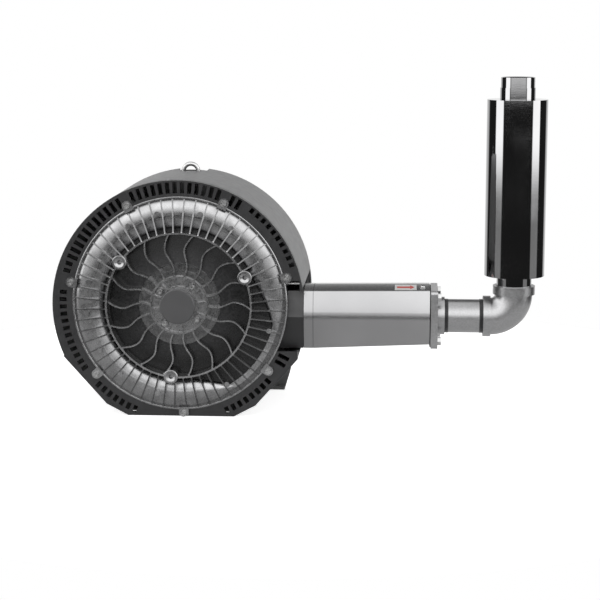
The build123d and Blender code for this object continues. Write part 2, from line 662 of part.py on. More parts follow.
with BuildPart() as rear_foot:
    box((-FOOT_HALF, FOOT_HALF), (FOOT_FRONT, FOOT_BACK), (0, HOOD_FLOOR))
    with BuildSketch(facing(HOOD_REAR, z=0.0)):
        with BuildLine():
            Polyline((-FOOT_HALF, 0), (FOOT_HALF, 0), (227, 37), (241, 100), (241, 116), (-241, 116),
                     (-241, 100), (-227, 37), close=True)
        make_face()
    extrude(amount=HOOD_REAR - FOOT_BACK)
    with BuildSketch(level(0)):
        with Locations((-FOOT_HOLE_X, FOOT_HOLE_Y), (FOOT_HOLE_X, FOOT_HOLE_Y)):
            Circle(6.5)
    extrude(amount=HOOD_FLOOR, mode=Mode.SUBTRACT)
save(rear_foot, "rear_foot")

# ---------------------------------------------------------------- inlet side
INLET_HALF = 58.0
INLET_BOLT = 42.0

with BuildPart() as inlet_manifold:
    box((120, 178), (MOTOR_FRONT, 270), (100, 165))
    box((130, 225), (178, 290), (105, 180))
    with BuildSketch(across(165, INLET_Y, INLET_Z)):
        RectangleRounded(2 * INLET_HALF, 2 * INLET_HALF, 8)
    extrude(amount=PORT_X - 165)
    pipe(190, PORT_X, PIPE_BORE, y=INLET_Y, z=INLET_Z, mode=Mode.SUBTRACT)
    with BuildSketch(across(PORT_X, INLET_Y, INLET_Z)):
        with GridLocations(2 * INLET_BOLT, 2 * INLET_BOLT, 2, 2):
            Circle(4)
    extrude(amount=-20, mode=Mode.SUBTRACT)
save(inlet_manifold, "inlet_manifold")


def square_plate(x0, x1, half, round_r, bolt, bolt_r, bore, y, z):
    """Square plate across the pipe with four bolt holes and a bore."""
    with BuildSketch(across(x0, y, z), mode=Mode.PRIVATE) as plate:
        RectangleRounded(2 * half, 2 * half, round_r)
        Circle(bore, mode=Mode.SUBTRACT)
        with GridLocations(2 * bolt, 2 * bolt, 2, 2):
            Circle(bolt_r, mode=Mode.SUBTRACT)
    extrude(plate.sketch, amount=x1 - x0)


with BuildPart() as inlet_gasket:
    square_plate(PORT_X, PORT_X + 2, INLET_HALF - 1, 6, INLET_BOLT, 4.4, PIPE_BORE, INLET_Y, INLET_Z)
save(inlet_gasket, "inlet_gasket")

with BuildPart() as inlet_flange:
    square_plate(PORT_X + 2, PORT_X + 16, INLET_HALF - 1, 8, INLET_BOLT, 4.4, 36.5, INLET_Y, INLET_Z)
    pipe(PORT_X + 16, PORT_X + 34, 46, 36.5, INLET_Y, INLET_Z)
save(inlet_flange, "inlet_flange")


def hex_bolts(plane, places, head_r, head_h, shank_r, shank_h):
    """Hexagon head bolts seated on a plane; the shanks run behind it."""
    with BuildSketch(mode=Mode.PRIVATE) as head:
        RegularPolygon(head_r, 6)
    with BuildSketch(mode=Mode.PRIVATE) as shank:
        Circle(shank_r)
    studs(plane, places, head.sketch, head_h)
    studs(plane, places, shank.sketch, -shank_h)


INLET_CORNERS = [(y, z) for y in (-INLET_BOLT, INLET_BOLT) for z in (-INLET_BOLT, INLET_BOLT)]

with BuildPart() as inlet_bolts:
    hex_bolts(across(PORT_X + 16, INLET_Y, INLET_Z), INLET_CORNERS, 7.5, 6, 4, 34)
save(inlet_bolts, "inlet_bolts")

# ---------------------------------------------------------------- silencer
COLLAR_END = 299.0
FLANGE_BOLT = 50.0
BODY_END = 562.0
SILENCER_WALL = 4.0
TUBE_R = 37.0


def section_at(x, inset=0.0):
    """Silencer section at x, between its left and right sizes."""
    share = (x - PORT_X) / (BODY_END - PORT_X)
    low = SECTION_LEFT[0] + share * (SECTION_RIGHT[0] - SECTION_LEFT[0])
    high = SECTION_LEFT[1] + share * (SECTION_RIGHT[1] - SECTION_LEFT[1])
    return slab_section(x, low, high, inset)


def port_bolt_holes(x0, x1):
    """Holes of the port's four bolts."""
    for y, z in PORT_CORNERS:
        pipe(x0, x1, PORT_BOLT_R, y=y, z=z, mode=Mode.SUBTRACT)


with BuildPart() as outlet_gasket:
    extrude(slab_section(PORT_X, *SECTION_LEFT, 3), amount=1.5)
    pipe(PORT_X, PORT_X + 1.5, PIPE_BORE, mode=Mode.SUBTRACT)
    port_bolt_holes(PORT_X, PORT_X + 1.5)
save(outlet_gasket, "outlet_gasket")

with BuildPart() as silencer_collar:
    loft([section_at(PORT_X + 1.5), section_at(COLLAR_END)])
    pipe(PORT_X, COLLAR_END, PIPE_BORE, mode=Mode.SUBTRACT)
    port_bolt_holes(PORT_X, PORT_X + 14)
save(silencer_collar, "silencer_collar")

with BuildPart() as silencer_body:
    loft([section_at(COLLAR_END), section_at(BODY_END)])
    loft([section_at(COLLAR_END, SILENCER_WALL), section_at(BODY_END - 8, SILENCER_WALL)], mode=Mode.SUBTRACT)
    pipe(COLLAR_END, BODY_END, PIPE_BORE, mode=Mode.SUBTRACT)
    with BuildSketch(across(BODY_END)):
        with GridLocations(2 * FLANGE_BOLT, 2 * FLANGE_BOLT, 2, 2):
            Circle(5)
    extrude(amount=-8, mode=Mode.SUBTRACT)
save(silencer_body, "silencer_body")

with BuildPart() as silencer_foam:
    loft([section_at(COLLAR_END, SILENCER_WALL), section_at(BODY_END - 8, SILENCER_WALL)])
    pipe(COLLAR_END, BODY_END, TUBE_R, mode=Mode.SUBTRACT)
save(silencer_foam, "silencer_foam")

TUBE_SLOTS = 6

with BuildPart() as silencer_tube:
    pipe(COLLAR_END, BODY_END - 8, TUBE_R, PIPE_BORE)
    for step in range(TUBE_SLOTS):
        x = COLLAR_END + 25 + 36 * step
        box((x, x + 20), (PIPE_Y - 60, PIPE_Y + 60), (PIPE_Z - 6, PIPE_Z + 6), mode=Mode.SUBTRACT)
save(silencer_tube, "silencer_tube")

# ---------------------------------------------------------------- pipework
FLANGE_HALF = 66.0
FLANGE_X = 564.5
FLANGE_BACK = 580.0
COLLAR_R = 43.0
COLLAR_BACK = 596.0
NIPPLE_END = 697.0
ELBOW_R = 42.0
ELBOW_START = 683.0
ELBOW_COLLAR = 17.0
ELBOW_TOP = 294.0

with BuildPart() as end_gasket:
    square_plate(BODY_END, FLANGE_X, FLANGE_HALF - 3, 10, FLANGE_BOLT, 5.5, PIPE_BORE, PIPE_Y, PIPE_Z)
save(end_gasket, "end_gasket")

with BuildPart() as end_flange:
    square_plate(FLANGE_X, FLANGE_BACK, FLANGE_HALF, 8, FLANGE_BOLT, 5.5, PIPE_R, PIPE_Y, PIPE_Z)
    pipe(FLANGE_BACK, COLLAR_BACK, COLLAR_R, PIPE_R)
save(end_flange, "end_flange")

FLANGE_CORNERS = [(y, z) for y in (-FLANGE_BOLT, FLANGE_BOLT) for z in (-FLANGE_BOLT, FLANGE_BOLT)]

with BuildPart() as flange_bolts:
    hex_bolts(across(FLANGE_BACK), FLANGE_CORNERS, 9.5, 8, 5, 26)
save(flange_bolts, "flange_bolts")

with BuildPart() as pipe_nipple:
    pipe(FLANGE_X, NIPPLE_END, PIPE_R, PIPE_BORE)
    for x in (COLLAR_BACK + 2, COLLAR_BACK + 5, ELBOW_START - 4, ELBOW_START - 7):
        pipe(x, x + 1.2, PIPE_R + 1, PIPE_R - 1.0, mode=Mode.SUBTRACT)
save(pipe_nipple, "pipe_nipple")

BEND_R = MUFFLER_X - ELBOW_START - ELBOW_COLLAR


with BuildPart() as pipe_elbow:
    with BuildSketch(across(ELBOW_START + ELBOW_COLLAR)):
        Circle(ELBOW_R)
    revolve(axis=Axis((ELBOW_START + ELBOW_COLLAR, PIPE_Y, PIPE_Z + BEND_R), (0, -1, 0)), revolution_arc=90)
    pipe(ELBOW_START, ELBOW_START + ELBOW_COLLAR, 46.5)
    riser(PIPE_Z + BEND_R, ELBOW_TOP, 47.5)
    with BuildSketch(across(ELBOW_START + ELBOW_COLLAR)):
        Circle(PIPE_BORE)
    revolve(axis=Axis((ELBOW_START + ELBOW_COLLAR, PIPE_Y, PIPE_Z + BEND_R), (0, -1, 0)), revolution_arc=90,
            mode=Mode.SUBTRACT)
    pipe(NIPPLE_END, ELBOW_START + ELBOW_COLLAR, PIPE_BORE, mode=Mode.SUBTRACT)
    pipe(ELBOW_START, NIPPLE_END, PIPE_R, mode=Mode.SUBTRACT)
    riser(PIPE_Z + BEND_R, ELBOW_TOP, PIPE_BORE, mode=Mode.SUBTRACT)
    riser(ELBOW_TOP - 14, ELBOW_TOP, PIPE_R, mode=Mode.SUBTRACT)
save(pipe_elbow, "pipe_elbow")

# ---------------------------------------------------------------- riser muffler
NECK_R = 39.5
SHELL_WALL = 1.8
CAP_THICK = 4.0
STUB_STEP = 740.0
STUB_TOP = 763.0
MUFFLER_TUBE_R = 37.0

with BuildPart() as muffler_neck:
    riser(ELBOW_TOP - 14, ELBOW_TOP, PIPE_R, PIPE_BORE)
    riser(ELBOW_TOP, MUFFLER_LOW, NECK_R, PIPE_BORE)
save(muffler_neck, "muffler_neck")

with BuildPart() as muffler_shell:
    riser(MUFFLER_LOW, MUFFLER_TOP, MUFFLER_R, MUFFLER_R - SHELL_WALL)
save(muffler_shell, "muffler_shell")

with BuildPart() as muffler_bottom_cap:
    riser(MUFFLER_LOW, MUFFLER_LOW + CAP_THICK, MUFFLER_R - SHELL_WALL, PIPE_BORE)
save(muffler_bottom_cap, "muffler_bottom_cap")

with BuildPart() as muffler_top_cap:
    riser(MUFFLER_TOP - CAP_THICK, MUFFLER_TOP, MUFFLER_R - SHELL_WALL, PIPE_BORE)
save(muffler_top_cap, "muffler_top_cap")

with BuildPart() as muffler_tube:
    riser(MUFFLER_LOW + CAP_THICK, MUFFLER_TOP - CAP_THICK, MUFFLER_TUBE_R, PIPE_BORE)
    for step in range(9):
        z = MUFFLER_LOW + 30 + 40 * step
        box((MUFFLER_X - 60, MUFFLER_X + 60), (PIPE_Y - 6, PIPE_Y + 6), (z, z + 22), mode=Mode.SUBTRACT)
save(muffler_tube, "muffler_tube")

with BuildPart() as muffler_packing:
    riser(MUFFLER_LOW + CAP_THICK, MUFFLER_TOP - CAP_THICK, MUFFLER_R - SHELL_WALL, MUFFLER_TUBE_R)
save(muffler_packing, "muffler_packing")

with BuildPart() as muffler_stub:
    riser(MUFFLER_TOP, STUB_STEP, NECK_R, PIPE_BORE)
    riser(STUB_STEP, STUB_TOP, PIPE_R, PIPE_BORE)
save(muffler_stub, "muffler_stub")

# ---------------------------------------------------------------- remaining fasteners
with BuildPart() as outlet_bolts:
    for y, z in PORT_CORNERS:
        pipe(PORT_X - 30, PORT_X + 14, PORT_BOLT_R, y=y, z=z)
    pipe(*TIE_X, TIE_R, y=TIE_Y, z=TIE_Z)
save(outlet_bolts, "outlet_bolts")
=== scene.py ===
"""Side channel blower with a pipe silencer and an upright outlet muffler.

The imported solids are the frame. This script gives every solid its finish, adds the small
pieces that the solids leave out, and sets up a pale studio round the blower.
"""

from math import atan2, cos, pi, radians, sin

import bmesh
import bpy
from bpy.props import FloatProperty, FloatVectorProperty, PointerProperty
from bpy.types import Operator, Panel, PropertyGroup
from mathutils import Matrix, Vector


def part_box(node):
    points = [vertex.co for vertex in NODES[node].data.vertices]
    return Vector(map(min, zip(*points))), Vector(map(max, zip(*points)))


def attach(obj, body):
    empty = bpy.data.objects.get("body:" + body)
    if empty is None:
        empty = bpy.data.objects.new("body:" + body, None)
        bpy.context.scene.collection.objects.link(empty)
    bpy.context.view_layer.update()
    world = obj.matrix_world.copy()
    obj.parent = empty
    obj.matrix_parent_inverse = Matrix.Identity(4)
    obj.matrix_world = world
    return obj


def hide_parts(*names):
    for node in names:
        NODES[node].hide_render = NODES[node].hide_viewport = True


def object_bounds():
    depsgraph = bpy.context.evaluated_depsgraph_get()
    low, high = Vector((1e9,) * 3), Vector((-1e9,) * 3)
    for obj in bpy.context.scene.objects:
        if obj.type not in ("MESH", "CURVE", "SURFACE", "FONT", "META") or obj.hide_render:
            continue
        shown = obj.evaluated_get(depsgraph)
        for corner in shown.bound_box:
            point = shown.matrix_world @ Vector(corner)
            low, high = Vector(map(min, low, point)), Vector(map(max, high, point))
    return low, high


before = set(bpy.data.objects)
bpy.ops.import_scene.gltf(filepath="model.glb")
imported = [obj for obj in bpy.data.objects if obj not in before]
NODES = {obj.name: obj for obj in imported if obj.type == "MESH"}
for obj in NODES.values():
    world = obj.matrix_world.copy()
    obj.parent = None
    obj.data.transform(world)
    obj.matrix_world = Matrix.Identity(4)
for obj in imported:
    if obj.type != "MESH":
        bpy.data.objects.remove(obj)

bl_info = {
    "name": "Side channel blower",
    "version": (1, 0, 0),
    "blender": (4, 5, 0),
    "location": "3D View > Sidebar > Blower",
    "description": "Dresses the packed frame of a side channel blower",
    "category": "Add Mesh",
}

CAD_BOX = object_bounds()


def middle(node):
    """The centre of a solid's box."""
    low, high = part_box(node)
    return (low + high) / 2


# ---------------------------------------------------------------- where things sit, in metres and degrees
AXIS = middle("shaft")
PIPE = middle("pipe_nipple")
FRONT = (0.0, -1.0, 0.0)
BACK = (0.0, 1.0, 0.0)
SHARP_ANGLE = radians(28.0)

# front cover
COVER_RADIUS = 0.243
RIB_COUNT = 56
RIB_THICK = 0.0022
RIB_SLOPE = 0.0265 / 0.076
RIB_FOOT = -0.027 - 0.165 * RIB_SLOPE
STRIPPER_ARC = (300.0, 348.0)
BOSS_ANGLES = (23.5, 143.5, 263.5)
BOSS_RADIUS = 0.163

# the channel's cover: angle, then centre radius, half width, half height and crest of its oval section
CHANNEL_STATIONS = [
    (-15.0, 0.224, 0.010, 0.008, -0.001), (4.0, 0.212, 0.027, 0.015, -0.006), (20.0, 0.206, 0.036, 0.018, -0.008),
    (280.0, 0.206, 0.036, 0.018, -0.008), (291.0, 0.212, 0.027, 0.015, -0.006), (303.0, 0.224, 0.010, 0.008, -0.001),
]
CHANNEL_STEP = 3.0
CHANNEL_SEAT = 0.0045

# where the casting's painted shade fades in or out: radii about the shaft, then depths along it
DOME_INNER_EDGE = (0.090, 0.094)
DOME_OUTER_EDGE = (0.1585, 0.160)
DISH_EDGE = (0.094, 0.135)
RIB_INNER_END = (0.166, 0.167)
RIB_OUTER_END = (0.200, 0.201)
DOME_DEPTH = (-0.017, -0.006)
CHANNEL_DEPTH = (-0.003, 0.0026)
CREST_DEPTH = (0.0012, 0.0020)

# hood's back
DRUM_X = -0.0045
DRUM_Z = 0.252
PANEL_INSET = 0.0055
PANEL_THICK = 0.0025
PANEL_RADIUS = 0.2804
PANEL_HOLE = 0.1605
PANEL_FOOT = 0.003
PANEL_TOP = 0.518
PANEL_SCREWS = (20.0, 62.0, 118.0, 160.0, 200.0, 340.0)
PANEL_SCREW_R = 0.270
FOOT_SCREWS = (-0.205, -0.12, 0.12, 0.205)
FOOT_SCREW_DROP = 0.018
GROMMET_X = -0.205

# silencer: its low and high edges at the port end and at the far end
SILENCER_NEAR = (0.155, 0.286)
SILENCER_FAR = (0.166, 0.289)
RIDGE_Z = 0.228
RIDGE_ROUND = 0.013
CORNER_ROUND = 0.0016
SIDE_BULGE = 0.0725
GABLE_RISE = 0.007
GABLE_HALF = 0.059
ROOF_TAPER = 3.0 / 285.0
SHEET_THICK = 0.003
SEAM = 0.0008
LABEL_X = 0.5075
LABEL_Y = 0.0565
PLUG_X = 0.546
PLUG_Y = 0.055

# pipe threads and floor
THREAD_SHOWN = 0.0085
THREAD_PROUD = 0.0010
THREAD_ROOT = 0.0001
FLOOR_RADIUS = 1.25
FLOOR_GAP = 0.0005


# ---------------------------------------------------------------- sizes and colours
def colour(label, description, default):
    """A colour that the user can change."""
    return FloatVectorProperty(
        name=label, description=description, default=default, min=0.0, max=1.0, size=3, subtype="COLOR_GAMMA"
    )


def length(label, description, default):
    """A length in metres that the user can change."""
    return FloatProperty(name=label, description=description, default=default, min=0.0, unit="LENGTH")


class BlowerColours(PropertyGroup):
    """Colours of the finishes."""

    cast: colour("Cast aluminium", "Bare cast aluminium of the cover and the fan", (0.27, 0.27, 0.273))
    # painted shade: this colour darkens the cover's casting on the dome web and deep in the channel
    pocket_shade: colour("Painted pocket shade", "Darkened casting skin deep between the ribs", (0.016, 0.016, 0.0165))
    housing: colour("Housing paint", "Black paint of the casing and the channel", (0.017, 0.017, 0.018))
    hood: colour("Hood paint", "Grey powder coat of the hood and the motor", (0.195, 0.195, 0.197))
    cap: colour("Hub cap paint", "Dark satin paint of the hub cap", (0.085, 0.085, 0.087))
    silencer: colour("Silencer skin", "Satin metal skin of the pipe silencer", (0.255, 0.255, 0.258))
    galvanised: colour("Galvanised iron", "Zinc coat of the pipe fittings", (0.28, 0.28, 0.283))
    chrome: colour("Polished steel", "Polished shell of the outlet muffler", (0.30, 0.30, 0.303))
    zinc: colour("Zinc plated steel", "Bolts, screws and the lifting eye", (0.38, 0.38, 0.38))
    rubber: colour("Rubber", "Gaskets and seals", (0.018, 0.018, 0.018))
    plastic: colour("Black plastic", "Cooling fan and cable gland", (0.022, 0.022, 0.023))
    copper: colour("Copper", "Enamelled windings", (0.52, 0.20, 0.08))
    foam: colour("Foam", "Sound absorbing lining", (0.11, 0.11, 0.12))
    label: colour("Label plate", "Plate under the flow arrow", (0.80, 0.80, 0.79))
    arrow: colour("Flow arrow", "Arrow that shows the way of the air", (0.62, 0.035, 0.02))
    floor: colour("Floor", "Pale studio floor", (0.90, 0.90, 0.90))


class BlowerSizes(PropertyGroup):
    """Sizes of the added pieces."""

    label_length: length("Label length", "Length of the arrow's plate along the silencer", 0.049)
    label_height: length("Label height", "Height of the arrow's plate up the slope", 0.042)
    label_thick: length("Label thickness", "Thickness of the arrow's plate", 0.0006)
    plug_radius: length("Plug radius", "Radius of the silencer's screw plug", 0.0065)
    thread_pitch: length("Thread pitch", "Pitch of the pipe threads", 0.0023)


class BlowerStage(PropertyGroup):
    """Camera and light."""

    camera_place: FloatVectorProperty(
        name="Camera place", description="Where the camera stands", default=(0.504756, -3.759325, 0.9088),
        size=3, subtype="TRANSLATION", unit="LENGTH",
    )
    camera_lens: FloatProperty(
        name="Lens", description="Focal length on a 36 mm sensor", default=102.35, min=10.0, unit="CAMERA"
    )
    camera_pitch: FloatProperty(
        name="Pitch", description="How far the camera looks down", default=0.168, subtype="ANGLE"
    )
    camera_yaw: FloatProperty(
        name="Yaw", description="How far the camera turns to the left", default=0.062, subtype="ANGLE"
    )
    ambient: FloatProperty(
        name="Ambient light", description="Level of the light from all sides", default=0.42, min=0.0
    )
    softbox: FloatProperty(
        name="Softbox level", description="Brightness of the soft boxes in reflections", default=3.2, min=0.0
    )
    floor_glow: FloatProperty(
        name="Floor whiteness", description="How far the floor runs into the white backdrop", default=0.80, min=0.0
    )
    key_power: FloatProperty(
        name="Key light", description="Power of the soft box above", default=27.0, min=0.0, unit="POWER"
    )
    side_power: FloatProperty(
        name="Side and back lights", description="Power of each soft box at the sides and behind", default=10.0,
        min=0.0, unit="POWER",
    )


# ---------------------------------------------------------------- shader networks
class Network:
    """Numbers worked out by shader nodes."""

    def __init__(self, tree):
        self.tree = tree

    def link(self, value, socket):
        """Links an output, or sets a plain value."""
        if isinstance(value, bpy.types.NodeSocket):
            self.tree.links.new(value, socket)
        else:
            socket.default_value = value

    def math(self, action, first, second=0.5):
        """One sum on values or outputs."""
        node = self.tree.nodes.new("ShaderNodeMath")
        node.operation = action
        for value, socket in zip((first, second), node.inputs):
            self.link(value, socket)
        return node.outputs[0]

    def chain(self, action, first, *others):
        """The same sum over several values, such as a product or the largest."""
        for value in others:
            first = self.math(action, first, value)
        return first

    def spread(self, value, low, high, to_low=0.0, to_high=1.0, smooth=False):
        """Maps low..high onto to_low..to_high, and holds both ends."""
        node = self.tree.nodes.new("ShaderNodeMapRange")
        node.interpolation_type = "SMOOTHSTEP" if smooth else "LINEAR"
        for name, part in (("From Min", low), ("From Max", high), ("To Min", to_low), ("To Max", to_high)):
            node.inputs[name].default_value = part
        self.tree.links.new(value, node.inputs["Value"])
        return node.outputs["Result"]

    def pick(self, amount, first, second):
        """The first number where the amount is 0, the second where it is 1."""
        node = self.tree.nodes.new("ShaderNodeMix")
        for name, value in (("Factor", amount), ("A", first), ("B", second)):
            self.link(value, node.inputs[name])
        return node.outputs["Result"]

    def axes(self, vector):
        """A vector's three coordinates, one by one."""
        node = self.tree.nodes.new("ShaderNodeSeparateXYZ")
        self.tree.links.new(vector, node.inputs[0])
        return node.outputs

    def rays(self):
        """Whether the camera sees this, and whether metal or glass does."""
        path = self.tree.nodes.new("ShaderNodeLightPath").outputs
        return path["Is Camera Ray"], self.math("MAXIMUM", path["Is Glossy Ray"], path["Is Transmission Ray"])


class Finish(Network):
    """One material: a Principled shader whose patterns lie in the piece's own coordinates."""

    def __init__(self, name, metallic=0.0, specular=0.5):
        self.material = bpy.data.materials.new(name)
        self.material.use_nodes = True
        super().__init__(self.material.node_tree)
        self.shader = self.tree.nodes["Principled BSDF"]
        self.shader.inputs["Metallic"].default_value = metallic
        self.shader.inputs["Specular IOR Level"].default_value = specular
        self.place = self.tree.nodes.new("ShaderNodeTexCoord").outputs["Object"]

    def moved(self, scale=(1.0, 1.0, 1.0), centre=(0.0, 0.0, 0.0)):
        """The piece's coordinates, centred or stretched."""
        node = self.tree.nodes.new("ShaderNodeMapping")
        node.inputs["Location"].default_value = [-c * s for c, s in zip(centre, scale)]
        node.inputs["Scale"].default_value = scale
        self.tree.links.new(self.place, node.inputs["Vector"])
        return node.outputs["Vector"]

    def noise(self, scale, detail=3.0, place=None):
        """Cloudy pattern."""
        node = self.tree.nodes.new("ShaderNodeTexNoise")
        node.inputs["Scale"].default_value = scale
        node.inputs["Detail"].default_value = detail
        self.tree.links.new(place or self.place, node.inputs["Vector"])
        return node.outputs["Fac"]

    def cells(self, scale, output="Distance"):
        """Pattern of cells."""
        node = self.tree.nodes.new("ShaderNodeTexVoronoi")
        node.inputs["Scale"].default_value = scale
        self.tree.links.new(self.place, node.inputs["Vector"])
        return node.outputs[output]

    def blend(self, amount, first, second):
        """Mixes two colours."""
        node = self.tree.nodes.new("ShaderNodeMix")
        node.data_type = "RGBA"
        self.link(amount, node.inputs["Factor"])
        for value, socket in ((first, node.inputs["A"]), (second, node.inputs["B"])):
            self.link(value if isinstance(value, bpy.types.NodeSocket) else (*value, 1.0), socket)
        return node.outputs["Result"]

    def radius(self, centre):
        """Distance from an axis that runs through centre from front to back."""
        across, _, up = self.axes(self.moved(centre=centre))
        return self.math("SQRT", self.math("ADD", *(self.math("MULTIPLY", part, part) for part in (across, up))))

    def done(self, tint, roughness, heights=()):
        """Feeds the shader; heights are (pattern, strength, distance) from coarse to fine."""
        self.link(tint if isinstance(tint, bpy.types.NodeSocket) else (*tint, 1.0), self.shader.inputs["Base Color"])
        self.link(roughness, self.shader.inputs["Roughness"])
        normal = None
        for pattern, strength, distance in heights:
            node = self.tree.nodes.new("ShaderNodeBump")
            node.inputs["Strength"].default_value = strength
            node.inputs["Distance"].default_value = distance
            self.tree.links.new(pattern, node.inputs["Height"])
            if normal:
                self.tree.links.new(normal, node.inputs["Normal"])
            normal = node.outputs["Normal"]
        if normal:
            self.tree.links.new(normal, self.shader.inputs["Normal"])
        return self.material


# ---------------------------------------------------------------- finishes
def shade(tint, factor):
    """A colour made lighter or darker."""
    return tuple(min(1.0, part * factor) for part in tint)


def cast_finish(name, tint, pocket_shade=None, ribbed=False):
    """Bare cast aluminium: grainy casting skin and cloudy colour. Given a shade colour, it paints shade on the dome
    web, lighter near the hub, and deep in the channel, and on a ribbed casting it paints shade on the rib crests.
    """
    finish = Finish(name, metallic=0.92)
    cloud = finish.noise(38.0, 4.0)
    grain = finish.noise(900.0, 2.0)
    pits = finish.cells(420.0)
    body = finish.blend(finish.spread(cloud, 0.35, 0.68), shade(tint, 0.82), shade(tint, 1.12))
    body = finish.blend(finish.spread(grain, 0.30, 0.55, 0.10, 0.0), body, shade(tint, 0.6))
    # painted shade deep in the casting: on the dome web and at the channel's floor, mixed in by radius and depth
    if pocket_shade:
        reach = finish.radius((AXIS.x, 0.0, AXIS.z))
        depth = finish.axes(finish.place)[1]
        dome = finish.chain(
            "MULTIPLY", finish.spread(reach, *DOME_INNER_EDGE, smooth=True),
            finish.spread(reach, *DOME_OUTER_EDGE, 1.0, 0.0), finish.spread(depth, *DOME_DEPTH, smooth=True),
        )
        painted_shade = finish.math("MAXIMUM", dome, finish.spread(depth, *CHANNEL_DEPTH, smooth=True))
        # painted shade on the rib crests: they are darkened to less than half the cast colour
        if ribbed:
            crest = finish.math("ADD", finish.math("MULTIPLY", reach, RIB_SLOPE), RIB_FOOT)
            crest_shade = finish.chain(
                "MULTIPLY", finish.spread(finish.math("SUBTRACT", depth, crest), *CREST_DEPTH, 1.0, 0.0),
                finish.spread(reach, *RIB_INNER_END), finish.spread(reach, *RIB_OUTER_END, 1.0, 0.0),
            )
            body = finish.blend(crest_shade, body, shade(tint, 0.42))
        # painted shade across the dome web: lighter near the hub, darker outwards
        dish_shade = finish.blend(finish.spread(reach, *DISH_EDGE), shade(pocket_shade, 2.6), shade(pocket_shade, 0.6))
        body = finish.blend(painted_shade, body, dish_shade)
        # the painted shade is also made less metallic, so that it reflects less
        metal = finish.spread(painted_shade, 0.0, 1.0, 0.92, 0.3)
        finish.link(metal, finish.shader.inputs["Metallic"])
    rough = finish.spread(finish.noise(120.0, 3.0), 0.3, 0.7, 0.22, 0.32)
    return finish.done(body, rough, [(cloud, 0.05, 0.0015), (grain, 0.01, 0.0003), (pits, 0.01, 0.0003)])


def painted_finish(name, tint, roughness, peel, wear=0.12):
    """Powder coat or paint with an orange-peel skin and faint dust."""
    finish = Finish(name)
    skin = finish.noise(650.0, 2.0)
    dust = finish.noise(9.0, 5.0)
    body = finish.blend(finish.spread(dust, 0.35, 0.75), shade(tint, 1.0 - wear), shade(tint, 1.0 + wear))
    body = finish.blend(finish.spread(skin, 0.35, 0.6, 0.12, 0.0), body, shade(tint, 0.6))
    rough = finish.spread(finish.noise(60.0, 4.0), 0.3, 0.7, roughness - 0.06, roughness + 0.06)
    return finish.done(body, rough, [(finish.noise(130.0, 2.0), peel, 0.0008), (skin, peel, 0.0003)])


def satin_metal_finish(name, tint):
    """Satin metal skin with fine lines drawn along it."""
    finish = Finish(name, metallic=0.85)
    lines = finish.noise(30.0, 4.0, finish.moved((1.0, 60.0, 60.0)))
    cloud = finish.noise(6.0, 4.0)
    body = finish.blend(finish.spread(cloud, 0.3, 0.7), shade(tint, 0.93), shade(tint, 1.07))
    body = finish.blend(finish.spread(lines, 0.35, 0.65, 0.10, 0.0), body, shade(tint, 0.7))
    rough = finish.spread(lines, 0.3, 0.7, 0.19, 0.26)
    return finish.done(body, rough, [(lines, 0.05, 0.0004), (finish.noise(700.0, 2.0), 0.06, 0.0002)])


def galvanised_finish(name, tint):
    """Hot-dip zinc: crystal flakes of several greys over a slightly lumpy skin."""
    finish = Finish(name, metallic=0.9)
    flake = finish.axes(finish.cells(340.0, output="Color"))[0]
    lumps = finish.noise(70.0, 3.0)
    body = finish.blend(finish.spread(flake, 0.0, 1.0), shade(tint, 0.92), shade(tint, 1.06))
    body = finish.blend(finish.spread(finish.noise(300.0, 3.0), 0.25, 0.45, 0.15, 0.0), body, shade(tint, 0.6))
    rough = finish.spread(flake, 0.0, 1.0, 0.28, 0.36)
    return finish.done(body, rough, [(lumps, 0.04, 0.0012), (finish.noise(900.0, 2.0), 0.03, 0.0003)])


def polished_finish(name, tint, roughness=0.06):
    """Polished steel with faint wiping marks round it."""
    finish = Finish(name, metallic=1.0)
    wipes = finish.noise(14.0, 5.0, finish.moved((4.0, 4.0, 40.0)))
    smudge = finish.noise(12.0, 5.0)
    body = finish.blend(finish.spread(smudge, 0.35, 0.7), shade(tint, 0.94), shade(tint, 1.04))
    rough = finish.math(
        "ADD", finish.spread(smudge, 0.40, 0.75, roughness * 0.5, roughness * 1.6),
        finish.spread(wipes, 0.5, 0.8, 0.0, 0.03),
    )
    return finish.done(body, rough, [(wipes, 0.015, 0.0003)])


def plated_finish(name, tint, roughness=0.28):
    """Zinc plate: fine turned marks, brighter and duller patches."""
    finish = Finish(name, metallic=1.0)
    patch = finish.noise(240.0, 4.0)
    body = finish.blend(finish.spread(patch, 0.3, 0.7), shade(tint, 0.75), shade(tint, 1.15))
    rough = finish.spread(patch, 0.3, 0.7, roughness - 0.08, roughness + 0.10)
    return finish.done(body, rough, [(finish.noise(1400.0, 2.0), 0.10, 0.0002)])


def moulded_finish(name, tint, roughness=0.55, grain=500.0):
    """Moulded rubber or plastic with a fine spark-eroded grain."""
    finish = Finish(name)
    skin = finish.noise(grain, 3.0)
    bloom = finish.noise(30.0, 4.0)
    body = finish.blend(finish.spread(bloom, 0.35, 0.75), shade(tint, 0.85), shade(tint, 1.5))
    rough = finish.spread(skin, 0.3, 0.7, roughness - 0.08, roughness + 0.08)
    return finish.done(body, rough, [(skin, 0.25, 0.0003)])


def stacked_finish(name, tint, along, pitch=0.0005):
    """Stacked sheets or wound wire: fine lines across one axis."""
    finish = Finish(name, metallic=0.7)
    wave = finish.tree.nodes.new("ShaderNodeTexWave")
    wave.bands_direction = along
    wave.inputs["Scale"].default_value = 1.0 / (20.0 * pitch)
    finish.tree.links.new(finish.place, wave.inputs["Vector"])
    lines = wave.outputs["Fac"]
    body = finish.blend(finish.spread(lines, 0.2, 0.8), shade(tint, 0.5), tint)
    return finish.done(body, finish.spread(finish.noise(80.0), 0.3, 0.7, 0.35, 0.5), [(lines, 0.4, 0.0003)])


